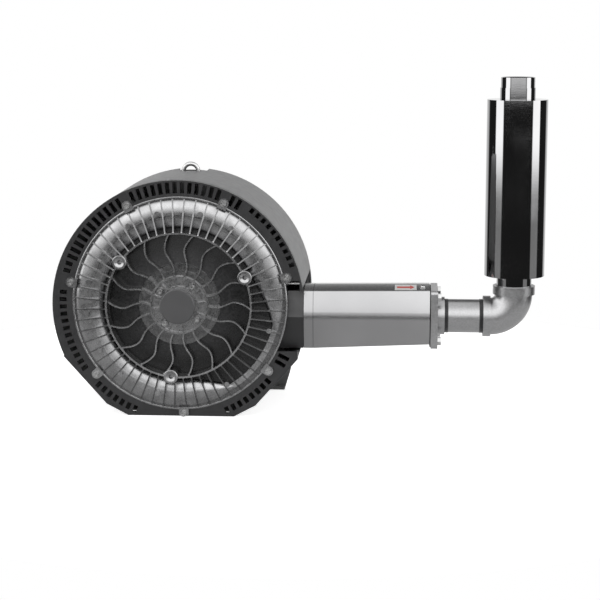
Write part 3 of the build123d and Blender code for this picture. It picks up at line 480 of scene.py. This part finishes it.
def foam_finish(name, tint):
    """Open-celled foam."""
    finish = Finish(name, specular=0.2)
    holes = finish.cells(420.0)
    body = finish.blend(finish.spread(holes, 0.15, 0.6), shade(tint, 0.3), shade(tint, 1.3))
    return finish.done(body, 0.9, [(holes, 0.6, 0.002)])


def printed_finish(name, tint):
    """Printed film: even colour, faint fade and a slight gloss."""
    finish = Finish(name)
    fade = finish.noise(90.0, 4.0)
    body = finish.blend(finish.spread(fade, 0.3, 0.7), shade(tint, 0.94), shade(tint, 1.03))
    return finish.done(body, finish.spread(fade, 0.3, 0.7, 0.32, 0.42), [(finish.noise(500.0), 0.04, 0.0002)])


FINISHES = {
    "bare casting": ["hub_ring", "rear_end_shield"],
    "cover casting with painted shade": ["front_cover"],
    "rough casting": ["impeller"],
    "hub cap paint": ["hub_cap"],
    "housing paint": ["casing", "channel_housing", "inlet_manifold"],
    "hood paint": [
        "hood", "motor_housing", "fan_cowl", "motor_support", "terminal_box", "terminal_lid",
        "rear_foot",
    ],
    "silencer skin": ["silencer_collar", "silencer_body"],
    "galvanised iron": [
        "pipe_nipple", "pipe_elbow", "end_flange", "inlet_flange", "silencer_tube", "muffler_tube",
    ],
    "polished steel": ["muffler_shell", "muffler_bottom_cap", "muffler_top_cap", "muffler_neck", "muffler_stub"],
    "zinc plate": [
        "hub_screws", "cover_screws", "lifting_eye", "inlet_bolts", "flange_bolts", "outlet_bolts",
        "impeller_key", "shaft_nut",
    ],
    "bearing steel": [
        "front_bearing_outer_ring", "rear_bearing_outer_ring", "front_bearing_inner_ring",
        "rear_bearing_inner_ring", "front_bearing_balls", "rear_bearing_balls", "shaft",
    ],
    "gasket rubber": ["shaft_seal", "inlet_gasket", "outlet_gasket", "end_gasket"],
    "black plastic": ["cable_gland", "cooling_fan"],
    "stacked sheets": ["stator_core", "rotor_core"],
    "enamelled copper": ["stator_windings"],
    "lining foam": ["silencer_foam", "muffler_packing"],
}


def make_finishes(colours):
    """All materials by name."""
    return {
        "bare casting": cast_finish("bare casting", colours.cast),
        # the cover and the channel's arch carry painted shade in their deep parts
        "cover casting with painted shade": cast_finish("cover casting with painted shade", colours.cast, colours.pocket_shade, ribbed=True),
        "arch casting with painted shade": cast_finish("arch casting with painted shade", colours.cast, colours.pocket_shade),
        # darker copy of the cast colour for the separate rib crests: painted shade
        "rib casting with painted shade": cast_finish("rib casting with painted shade", shade(colours.cast, 0.45)),
        # darker copy of the cast colour for the hub's ledge: painted shade
        "ledge casting with painted shade": cast_finish("ledge casting with painted shade", shade(colours.cast, 0.55)),
        "rough casting": cast_finish("rough casting", shade(colours.cast, 0.8)),
        "hub cap paint": painted_finish("hub cap paint", colours.cap, 0.42, peel=0.05),
        "housing paint": painted_finish("housing paint", colours.housing, 0.40, peel=0.12, wear=0.25),
        "hood paint": painted_finish("hood paint", colours.hood, 0.50, peel=0.06, wear=0.03),
        "silencer skin": satin_metal_finish("silencer skin", colours.silencer),
        "galvanised iron": galvanised_finish("galvanised iron", colours.galvanised),
        "polished steel": polished_finish("polished steel", colours.chrome),
        "zinc plate": plated_finish("zinc plate", colours.zinc),
        "bearing steel": plated_finish("bearing steel", colours.zinc, 0.2),
        "gasket rubber": moulded_finish("gasket rubber", colours.rubber, 0.7),
        "black plastic": moulded_finish("black plastic", colours.plastic, 0.5),
        "stacked sheets": stacked_finish("stacked sheets", shade(colours.zinc, 0.5), "Y"),
        "enamelled copper": stacked_finish("enamelled copper", colours.copper, "Z", 0.0012),
        "lining foam": foam_finish("lining foam", colours.foam),
        "thread iron": moulded_finish("thread iron", colours.plastic, 0.35, 800.0),
        "label film": printed_finish("label film", colours.label),
        "arrow print": printed_finish("arrow print", colours.arrow),
    }


def finish_of(name):
    """A finish that has been made already."""
    return bpy.data.materials[name]


# ---------------------------------------------------------------- mesh helpers
def place_piece(bm, name, finish):
    """Turns a worked mesh into a piece that rides on the frame: corners stay sharp, curved faces shade smoothly."""
    bmesh.ops.remove_doubles(bm, verts=bm.verts, dist=1e-6)
    bmesh.ops.recalc_face_normals(bm, faces=bm.faces)
    for face in bm.faces:
        face.smooth = True
    for edge in bm.edges:
        edge.smooth = len(edge.link_faces) == 2 and edge.calc_face_angle() < SHARP_ANGLE
    mesh = bpy.data.meshes.new(name)
    bm.to_mesh(mesh)
    bm.free()
    piece = bpy.data.objects.new(name, mesh)
    bpy.context.scene.collection.objects.link(piece)
    mesh.materials.append(finish_of(finish))
    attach(piece, "frame")
    return piece


def moved_verts(raised):
    """The corners among the things that an extrusion made."""
    return [item for item in raised if isinstance(item, bmesh.types.BMVert)]


def spun(bm, profile, centre, axis, turns=1.0, steps=48, pitch=0.0):
    """Turns a profile of (radius, height) points about an axis; a pitch makes it climb like a thread."""
    axis = Vector(axis).normalized()
    side = axis.orthogonal().normalized()
    points = [bm.verts.new(Vector(centre) + side * radius + axis * height) for radius, height in profile]
    edges = [bm.edges.new(pair) for pair in zip(points, points[1:])]
    whole = turns == 1.0 and pitch == 0.0
    bmesh.ops.spin(
        bm, geom=points + edges, cent=centre, axis=axis, dvec=axis * (pitch / steps), angle=2 * pi * turns,
        steps=round(steps * turns), use_merge=whole,
    )


def ring(bm, profile, centre, axis, steps):
    """Turns a closed profile right round, so that its last point meets its first."""
    spun(bm, profile + profile[:1], centre, axis, steps=steps)


def spun_arc(bm, profile, centre, start, stop, steps):
    """Turns a closed profile of (radius, height) points through part of a turn and closes both ends."""
    axis = Vector(FRONT)
    begin = Matrix.Rotation(-radians(start), 3, "Y") @ Vector((1.0, 0.0, 0.0))
    face = bm.faces.new([bm.verts.new(Vector(centre) + begin * radius + axis * height) for radius, height in profile])
    bmesh.ops.spin(
        bm, geom=[face], cent=centre, axis=axis, angle=radians(stop - start), steps=steps, use_merge=False,
    )


def prism(bm, outline, plane, height):
    """Raises a flat outline that is given in a plane's own two directions."""
    face = bm.faces.new([bm.verts.new(plane @ Vector((u, v, 0.0))) for u, v in outline])
    raised = bmesh.ops.extrude_face_region(bm, geom=[face])["geom"]
    bmesh.ops.translate(bm, verts=moved_verts(raised), vec=plane.to_3x3() @ Vector((0.0, 0.0, height)))


def soften(bm, edges, offset, segments):
    """Rounds edges."""
    bmesh.ops.bevel(
        bm, geom=edges, offset=offset, segments=segments, affect="EDGES", profile=0.5, material=-1,
        offset_type="OFFSET", clamp_overlap=True,
    )


def screw_head(bm, place, axis, radius, height, washer):
    """Button head screw with a round socket, on a washer."""
    axis = Vector(axis).normalized()
    spun(bm, [(0.0, 0.0), (washer, 0.0), (washer, height * 0.22), (0.0, height * 0.22)], place, axis, steps=24)
    lift = height * 0.2
    socket = radius * 0.45
    spun(
        bm,
        [(0.0, lift), (radius, lift), (radius, lift + height * 0.45), (radius * 0.86, lift + height * 0.85),
         (radius * 0.6, lift + height), (socket, lift + height), (socket, lift + height * 0.4),
         (0.0, lift + height * 0.4)],
        place, axis, steps=18,
    )


def cut_flat(bm, place, outward):
    """Cuts away what lies past a plane and closes the cut."""
    everything = bm.verts[:] + bm.edges[:] + bm.faces[:]
    cut = bmesh.ops.bisect_plane(
        bm, geom=everything, plane_co=place, plane_no=outward, clear_outer=True,
    )["geom_cut"]
    bmesh.ops.edgeloop_fill(bm, edges=[item for item in cut if isinstance(item, bmesh.types.BMEdge)])


# ---------------------------------------------------------------- front cover
def channel_shape(angle):
    """Centre radius, half width, half height and crest of the channel's cover at an angle."""
    for (start, *first), (stop, *last) in zip(CHANNEL_STATIONS, CHANNEL_STATIONS[1:]):
        if angle <= stop:
            share = (angle - start) / (stop - start)
            return [a + (b - a) * share for a, b in zip(first, last)]
    return CHANNEL_STATIONS[-1][1:]


def channel_ring(bm, angle):
    """One oval section of the channel's cover, standing in the radial plane."""
    centre_r, half_width, half_height, crest = channel_shape(angle)
    turn = radians(angle)
    out = Vector((cos(turn), 0.0, sin(turn)))
    back = Vector((0.0, 1.0, 0.0))
    stand = Matrix((out, back, out.cross(back))).transposed().to_4x4()
    place = Vector((AXIS.x, crest + half_height, AXIS.z)) + out * centre_r
    made = bmesh.ops.create_circle(bm, segments=40, radius=1.0)["verts"]
    bmesh.ops.scale(bm, vec=(half_width, half_height, 1.0), verts=made)
    bmesh.ops.transform(bm, matrix=Matrix.Translation(place) @ stand, verts=made)
    return [edge for edge in bm.edges if all(vert in made for vert in edge.verts)]


def channel_arch():
    """The side channel's arched cover: oval sections joined from end to end, flat at the seat."""
    bm = bmesh.new()
    first = CHANNEL_STATIONS[0][0]
    count = round((CHANNEL_STATIONS[-1][0] - first) / CHANNEL_STEP)
    previous = channel_ring(bm, first)
    bmesh.ops.edgeloop_fill(bm, edges=previous)
    for step in range(1, count + 1):
        following = channel_ring(bm, first + step * CHANNEL_STEP)
        bmesh.ops.bridge_loops(bm, edges=previous + following)
        previous = following
    bmesh.ops.edgeloop_fill(bm, edges=previous)
    cut_flat(bm, (0.0, CHANNEL_SEAT, 0.0), BACK)
    place_piece(bm, "channel_arch", "arch casting with painted shade")


def rib_crests(centre):
    """The outer ends of the radial ribs, which run down over the channel to the rim."""
    side = [
        (0.196, -0.010), (0.196, 0.0165), (0.206, 0.0131), (0.218, 0.0110), (0.230, 0.0072), (0.2385, 0.0032),
        (0.2385, -0.001),
    ]
    bm = bmesh.new()
    blade = bm.faces.new([bm.verts.new((centre[0] + r, -h, centre[2] - RIB_THICK / 2)) for r, h in side])
    raised = bmesh.ops.extrude_face_region(bm, geom=[blade])["geom"]
    bmesh.ops.translate(bm, verts=moved_verts(raised), vec=(0.0, 0.0, RIB_THICK))
    step = 2 * pi / RIB_COUNT
    bmesh.ops.rotate(bm, cent=centre, matrix=Matrix.Rotation(step / 2, 3, "Y"), verts=bm.verts)
    bmesh.ops.spin(
        bm, geom=bm.verts[:] + bm.edges[:] + bm.faces[:], cent=centre, axis=BACK, angle=2 * pi - step,
        steps=RIB_COUNT - 1, use_duplicate=True,
    )
    place_piece(bm, "rib_crests", "rib casting with painted shade")


def cover_bead(centre):
    """The raised bead along the cover's rim."""
    profile = [
        (COVER_RADIUS - 0.005, -0.0005), (COVER_RADIUS - 0.0042, 0.002), (COVER_RADIUS - 0.0035, 0.0026),
        (COVER_RADIUS - 0.0012, 0.0026), (COVER_RADIUS, 0.0016), (COVER_RADIUS, -0.0005),
    ]
    bm = bmesh.new()
    ring(bm, profile, centre, FRONT, 160)
    place_piece(bm, "cover_bead", "bare casting")


def stripper_rim(centre):
    """The wider rim beside the stripper, where the channel is closed."""
    bm = bmesh.new()
    profile = [(0.214, -0.004), (0.215, 0.0), (0.2272, 0.0004), (0.2272, -0.004)]
    spun_arc(bm, profile, centre, *STRIPPER_ARC, 32)
    place_piece(bm, "stripper_rim", "bare casting")


def hub_ledge(centre):
    """The two flat steps round the hub."""
    profile = [
        (0.0668, 0.006), (0.0668, 0.0092), (0.0785, 0.0092), (0.0790, 0.0087), (0.0792, 0.0066), (0.0915, 0.0066),
        (0.0925, 0.0056), (0.0925, -0.001), (0.0668, -0.001),
    ]
    bm = bmesh.new()
    ring(bm, profile, centre, FRONT, 120)
    place_piece(bm, "hub_ledge", "ledge casting with painted shade")


def boss_rims(face_y):
    """The rounded rim and the countersink of each of the three bosses."""
    rim = [(0.0104, -0.003), (0.0104, 0.0004), (0.0112, 0.0012), (0.0148, 0.0012), (0.0160, 0.0), (0.0160, -0.003)]
    countersink = [(0.0052, -0.0039), (0.0052, -0.0030), (0.0104, -0.0004), (0.0104, -0.0039)]
    bm = bmesh.new()
    for angle in BOSS_ANGLES:
        place = (AXIS.x + BOSS_RADIUS * cos(radians(angle)), face_y, AXIS.z + BOSS_RADIUS * sin(radians(angle)))
        ring(bm, rim, place, FRONT, 40)
        ring(bm, countersink, place, FRONT, 40)
    place_piece(bm, "boss_rims", "bare casting")


class BLOWER_OT_cover_forms(Operator):
    """Add the channel's arched cover, the ribs' ends, the rim's bead, the stripper's rim, the ledge and boss rims"""

    bl_idname = "blower.cover_forms"
    bl_label = "Cover forms"

    def execute(self, context):
        centre = (AXIS.x, 0.0, AXIS.z)
        channel_arch()
        rib_crests(centre)
        cover_bead(centre)
        stripper_rim(centre)
        hub_ledge(centre)
        boss_rims(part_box("front_cover")[0].y)
        return {"FINISHED"}


# ---------------------------------------------------------------- silencer
def gable_frame(x, y):
    """Plane on the silencer's sloping front roof: across it along X, up it towards the back."""
    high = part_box("silencer_body")[1]
    slope = atan2(GABLE_RISE, GABLE_HALF)
    z = high.z - (high.x - x) * ROOF_TAPER - (PIPE.y - y) / GABLE_HALF * GABLE_RISE
    return Matrix.Translation((x, y, z)) @ Matrix.Rotation(slope, 4, "X") @ Matrix.Rotation(-ROOF_TAPER, 4, "Y")


def silencer_skin(start, stop, near_edges, far_edges):
    """One length of the silencer's sheet casing: gabled roof, two sloping sides that meet in a rounded ridge."""
    low, high = near_edges
    outline = [
        (-GABLE_HALF, low), (0.0, low - GABLE_RISE), (GABLE_HALF, low), (SIDE_BULGE, RIDGE_Z),
        (GABLE_HALF, high), (0.0, high + GABLE_RISE), (-GABLE_HALF, high), (-SIDE_BULGE, RIDGE_Z),
    ]
    bm = bmesh.new()
    face = bm.faces.new([bm.verts.new((start, PIPE.y + y, z)) for y, z in outline])
    raised = bmesh.ops.extrude_face_region(bm, geom=[face])["geom"]
    for vert in moved_verts(raised):
        vert.co.x = stop
        if vert.co.z < RIDGE_Z - 0.01:
            vert.co.z += far_edges[0] - low
        elif vert.co.z > RIDGE_Z + 0.01:
            vert.co.z += far_edges[1] - high
    bmesh.ops.delete(bm, geom=[item for item in bm.faces if len(item.verts) == len(outline)], context="FACES_ONLY")

    def lengthwise(away_from_ridge):
        """The edges along the silencer whose distance from the ridge passes the test."""
        return [
            edge for edge in bm.edges
            if abs(edge.verts[0].co.x - edge.verts[1].co.x) > 0.001
            and away_from_ridge(abs(edge.verts[0].co.z - RIDGE_Z))
        ]

    soften(bm, lengthwise(lambda gap: gap < 0.001), RIDGE_ROUND, 12)
    soften(bm, lengthwise(lambda gap: gap > 0.02), CORNER_ROUND, 3)
    bmesh.ops.recalc_face_normals(bm, faces=bm.faces)
    bmesh.ops.solidify(bm, geom=bm.faces[:], thickness=SHEET_THICK)
    return bm


class BLOWER_OT_silencer(Operator):
    """Fit the silencer's sheet casing: the collar at the port and the long body"""

    bl_idname = "blower.silencer"
    bl_label = "Silencer casing"

    def execute(self, context):
        for node, seam, far_edges in (
            ("silencer_collar", 0.0, SILENCER_NEAR), ("silencer_body", SEAM, SILENCER_FAR),
        ):
            low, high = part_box(node)
            bm = silencer_skin(low.x + seam, high.x, SILENCER_NEAR, far_edges)
            piece = place_piece(bm, node + "_skin", "silencer skin")
            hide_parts(node)
        return {"FINISHED"}


# ---------------------------------------------------------------- hood's back
def hood_panel(seat, floor):
    """The round panel in the hood's back, with the fan's opening and a flat foot and top."""
    bm = bmesh.new()
    sheet = [(PANEL_HOLE, 0.0), (PANEL_RADIUS, 0.0), (PANEL_RADIUS, PANEL_THICK), (PANEL_HOLE, PANEL_THICK)]
    ring(bm, sheet, (DRUM_X, seat, DRUM_Z), BACK, 96)
    cut_flat(bm, (0.0, 0.0, floor + PANEL_FOOT), (0.0, 0.0, -1.0))
    cut_flat(bm, (0.0, 0.0, PANEL_TOP), (0.0, 0.0, 1.0))
    place_piece(bm, "hood_panel", "hood paint")


def hood_screws(face_y):
    """The panel's screws, and the larger ones that hold the rear foot."""
    bm = bmesh.new()
    for angle in PANEL_SCREWS:
        place = (
            DRUM_X + PANEL_SCREW_R * cos(radians(angle)), face_y, DRUM_Z + PANEL_SCREW_R * sin(radians(angle)),
        )
        screw_head(bm, place, BACK, 0.0055, 0.0035, 0.0075)
    foot_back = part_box("rear_foot")[1]
    for x in FOOT_SCREWS:
        screw_head(bm, (x, foot_back.y, foot_back.z - FOOT_SCREW_DROP), BACK, 0.007, 0.0045, 0.0095)
    place_piece(bm, "hood_screws", "zinc plate")


def cable_grommet(face_y):
    """The rubber grommet in the panel."""
    profile = [
        (0.0, 0.0), (0.017, 0.0), (0.017, 0.002), (0.0155, 0.0035), (0.012, 0.0035), (0.010, 0.0015), (0.0, 0.001),
    ]
    bm = bmesh.new()
    spun(bm, profile, (GROMMET_X, face_y, AXIS.z), BACK, steps=32)
    place_piece(bm, "cable_grommet", "gasket rubber")


class BLOWER_OT_hood_back(Operator):
    """Close the hood's back with its panel, grommet and screws"""

    bl_idname = "blower.hood_back"
    bl_label = "Hood back"

    def execute(self, context):
        low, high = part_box("hood")
        seat = high.y - PANEL_INSET
        hood_panel(seat, low.z)
        hood_screws(seat + PANEL_THICK)
        cable_grommet(seat + PANEL_THICK)
        return {"FINISHED"}


# ---------------------------------------------------------------- finishes of the solids
class BLOWER_OT_finishes(Operator):
    """Give every solid of the frame its finish"""

    bl_idname = "blower.finishes"
    bl_label = "Finishes"

    def execute(self, context):
        make_finishes(context.scene.blower_colours)
        dressed = [member for members in FINISHES.values() for member in members]
        wrong = set(NODES) ^ set(dressed)
        if wrong:
            raise RuntimeError(f"solids with no finish, or finishes with no solid: {sorted(wrong)}")
        for name, members in FINISHES.items():
            for member in members:
                slots = NODES[member].material_slots
                for slot in slots:
                    slot.material = finish_of(name)
                if not slots:
                    NODES[member].data.materials.append(finish_of(name))
        return {"FINISHED"}


# ---------------------------------------------------------------- label, plug and threads
class BLOWER_OT_flow_label(Operator):
    """Add the plate with the flow arrow, and the plug beside it, on the silencer's roof"""

    bl_idname = "blower.flow_label"
    bl_label = "Flow label"

    def execute(self, context):
        sizes = context.scene.blower_sizes
        place = gable_frame(LABEL_X, LABEL_Y)
        half_u, half_v = sizes.label_length / 2, sizes.label_height / 2
        bm = bmesh.new()
        corners = [(-half_u, -half_v), (half_u, -half_v), (half_u, half_v), (-half_u, half_v)]
        prism(bm, corners, place, sizes.label_thick)
        place_piece(bm, "flow_label_plate", "label film")
        bm = bmesh.new()
        tail, neck, tip = (share * sizes.label_length for share in (-0.40, 0.20, 0.40))
        thin, wide = (share * sizes.label_height for share in (0.15, 0.38))
        arrow = [(tail, -thin), (neck, -thin), (neck, -wide), (tip, 0.0), (neck, wide), (neck, thin), (tail, thin)]
        prism(bm, arrow, place @ Matrix.Translation((0.0, 0.0, sizes.label_thick * 0.8)), sizes.label_thick * 0.5)
        place_piece(bm, "flow_label_arrow", "arrow print")
        bm = bmesh.new()
        seat = gable_frame(PLUG_X, PLUG_Y)
        up = seat.to_3x3() @ Vector((0.0, 0.0, 1.0))
        screw_head(bm, seat.translation, up, sizes.plug_radius, 0.005, sizes.plug_radius * 1.25)
        place_piece(bm, "silencer_plug", "zinc plate")
        return {"FINISHED"}


class BLOWER_OT_threads(Operator):
    """Add the threads that show at both ends of the pipe nipple"""

    bl_idname = "blower.threads"
    bl_label = "Pipe threads"

    def execute(self, context):
        pitch = context.scene.blower_sizes.thread_pitch
        low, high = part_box("pipe_nipple")
        radius = (high.z - low.z) / 2
        root = radius + THREAD_ROOT
        crest = radius + THREAD_PROUD
        core = root + THREAD_PROUD * 0.2
        turn = [(root, 0.0), (crest, pitch * 0.4), (crest, pitch * 0.6), (root, pitch)]
        flange_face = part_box("end_flange")[1].x
        elbow_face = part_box("pipe_elbow")[0].x
        for name, start, stop in (
            ("near", flange_face, flange_face + THREAD_SHOWN), ("far", elbow_face - THREAD_SHOWN, elbow_face),
        ):
            bm = bmesh.new()
            place = (start, PIPE.y, PIPE.z)
            spun(bm, turn, place, (1.0, 0.0, 0.0), (stop - start) / pitch - 1.0, 48, pitch)
            sleeve = [(radius - 0.002, 0.0), (core, 0.0), (core, stop - start), (radius - 0.002, stop - start)]
            ring(bm, sleeve, place, (1.0, 0.0, 0.0), 64)
            place_piece(bm, f"nipple_thread_{name}", "thread iron")
        return {"FINISHED"}


# ---------------------------------------------------------------- stage
class BLOWER_OT_stage(Operator):
    """Set up the camera, the soft light and the pale floor"""

    bl_idname = "blower.stage"
    bl_label = "Studio stage"

    def execute(self, context):
        stage = context.scene.blower_stage
        context.scene.view_settings.view_transform = "Standard"
        camera_data = bpy.data.cameras.new("camera")
        camera_data.lens = stage.camera_lens
        camera_data.sensor_width = 36.0
        camera_data.clip_end = 60.0
        camera = bpy.data.objects.new("camera", camera_data)
        camera.location = stage.camera_place
        camera.rotation_euler = (pi / 2 - stage.camera_pitch, 0.0, stage.camera_yaw)
        context.scene.collection.objects.link(camera)
        context.scene.camera = camera
        studio_world(context.scene, stage)
        low, high = CAD_BOX
        aim = (Vector(low) + Vector(high)) / 2
        for name, place, size, power in (
            ("key light", (aim.x, -2.4, 2.9), (3.2, 1.8), stage.key_power),
            ("back light", (aim.x, 3.0, 2.2), (2.4, 1.4), stage.side_power),
            ("left light", (-2.6, -1.2, 0.9), (0.9, 1.8), stage.side_power),
            ("right light", (3.4, -1.2, 0.9), (0.9, 1.8), stage.side_power),
        ):
            soft_box(name, place, aim, size, power)
        studio_floor(context.scene.blower_colours.floor, aim[:2], low[2], stage.floor_glow)
        return {"FINISHED"}


def soft_box(name, place, aim, size, power):
    """A soft box that points at the blower."""
    data = bpy.data.lights.new(name, "AREA")
    data.shape = "RECTANGLE"
    data.size, data.size_y = size
    data.energy = power
    lamp = bpy.data.objects.new(name, data)
    lamp.location = place
    lamp.rotation_euler = (aim - Vector(place)).to_track_quat("-Z", "Y").to_euler()
    lamp.visible_glossy = False
    bpy.context.scene.collection.objects.link(lamp)


def studio_world(scene, stage):
    """White backdrop for the eye and even light for the rest; metal sees soft boxes in a dark room."""
    world = bpy.data.worlds.new("studio")
    world.use_nodes = True
    scene.world = world
    sky = Network(world.node_tree)
    across, away, up = sky.axes(sky.tree.nodes.new("ShaderNodeTexCoord").outputs["Generated"])

    def fade(value, low, high, to_low=0.0, to_high=1.0):
        """A soft edge between two directions."""
        return sky.spread(value, low, high, to_low, to_high, smooth=True)

    backdrop = sky.chain("MULTIPLY", fade(away, 0.64, 0.78), fade(up, 0.30, 0.42, 1.0, 0.2))
    above = sky.chain(
        "MULTIPLY", fade(up, 0.12, 0.24), fade(away, 0.30, 0.60, 1.0, 0.0), fade(up, 0.60, 1.0, 1.0, 0.5),
        stage.softbox,
    )
    beside = sky.chain(
        "MULTIPLY", fade(sky.math("ABSOLUTE", across), 0.82, 0.86), fade(up, -0.115, -0.075, 0.16, 1.0),
        fade(away, 0.05, -0.02), stage.softbox,
    )
    behind_camera = sky.chain("MULTIPLY", fade(up, -0.055, -0.040, 0.0, 1.5), fade(away, -0.5, -0.7))
    room = 0.03
    mirrored = sky.chain("MAXIMUM", backdrop, above, beside, behind_camera, room)

    by_camera, by_metal = sky.rays()
    strength = sky.pick(by_camera, sky.pick(by_metal, stage.ambient, mirrored), 1.0)
    background = sky.tree.nodes["Background"]
    background.inputs["Color"].default_value = (1.0, 1.0, 1.0, 1.0)
    sky.link(strength, background.inputs["Strength"])


def studio_floor(tint, centre, level, glow):
    """Pale floor that keeps the blower's shadow and runs into the white backdrop; in metal its glow is dimmer, with a
    painted shadow under the blower.
    """
    bm = bmesh.new()
    bmesh.ops.create_circle(bm, cap_ends=True, segments=96, radius=FLOOR_RADIUS)
    bmesh.ops.translate(bm, verts=bm.verts, vec=(*centre, level - FLOOR_GAP))
    mesh = bpy.data.meshes.new("floor")
    bm.to_mesh(mesh)
    bm.free()
    finish = Finish("floor paper", specular=0.2)
    grain = finish.noise(3.0, 2.0)
    finish.done(finish.blend(finish.spread(grain, 0.3, 0.7), shade(tint, 0.995), tint), 0.8)
    by_camera, by_metal = finish.rays()
    seen = finish.math("MAXIMUM", by_camera, by_metal)
    # painted shadow: in metal the floor's glow is cut most under the blower and less beyond it
    painted_shadow_under_blower = finish.spread(finish.axes(finish.place)[0], 0.18, 0.38, 0.9, 0.55, smooth=True)
    shadow_glow_taken = finish.chain("MULTIPLY", by_metal, glow, painted_shadow_under_blower)
    level = finish.math("SUBTRACT", finish.math("MULTIPLY", seen, glow), shadow_glow_taken)
    finish.shader.inputs["Emission Color"].default_value = (1.0, 1.0, 1.0, 1.0)
    finish.link(level, finish.shader.inputs["Emission Strength"])
    mesh.materials.append(finish.material)
    floor = bpy.data.objects.new("floor", mesh)
    bpy.context.scene.collection.objects.link(floor)


class BLOWER_PT_panel(Panel):
    """Lists the blower's pieces, finishes and stage in the sidebar"""

    bl_idname = "BLOWER_PT_panel"
    bl_label = "Side Channel Blower"
    bl_space_type = "VIEW_3D"
    bl_region_type = "UI"
    bl_category = "Blower"

    def draw(self, context):
        scene = context.scene
        for title, settings in (
            ("Colours", scene.blower_colours), ("Sizes", scene.blower_sizes), ("Stage", scene.blower_stage),
        ):
            box = self.layout.box()
            box.label(text=title)
            for key in settings.__annotations__:
                box.prop(settings, key)
        column = self.layout.column(align=True)
        for step in STEPS:
            column.operator(step.bl_idname)


STEPS = (
    BLOWER_OT_finishes, BLOWER_OT_cover_forms, BLOWER_OT_silencer, BLOWER_OT_hood_back, BLOWER_OT_flow_label,
    BLOWER_OT_threads, BLOWER_OT_stage,
)
CLASSES = (BlowerColours, BlowerSizes, BlowerStage, *STEPS, BLOWER_PT_panel)
SETTINGS = {"blower_colours": BlowerColours, "blower_sizes": BlowerSizes, "blower_stage": BlowerStage}


def register():
    """Registers the classes and puts the settings on the scene."""
    for item in CLASSES:
        bpy.utils.register_class(item)
    for name, group in SETTINGS.items():
        setattr(bpy.types.Scene, name, PointerProperty(type=group))


def unregister():
    """Takes the settings and the classes away again."""
    for name in SETTINGS:
        delattr(bpy.types.Scene, name)
    for item in reversed(CLASSES):
        bpy.utils.unregister_class(item)


def main():
    """Makes the blower's dress and the stage."""
    register()
    bpy.ops.blower.finishes()
    bpy.ops.blower.cover_forms()
    bpy.ops.blower.silencer()
    bpy.ops.blower.hood_back()
    bpy.ops.blower.flow_label()
    bpy.ops.blower.threads()
    bpy.ops.blower.stage()


if __name__ == "__main__":
    main()
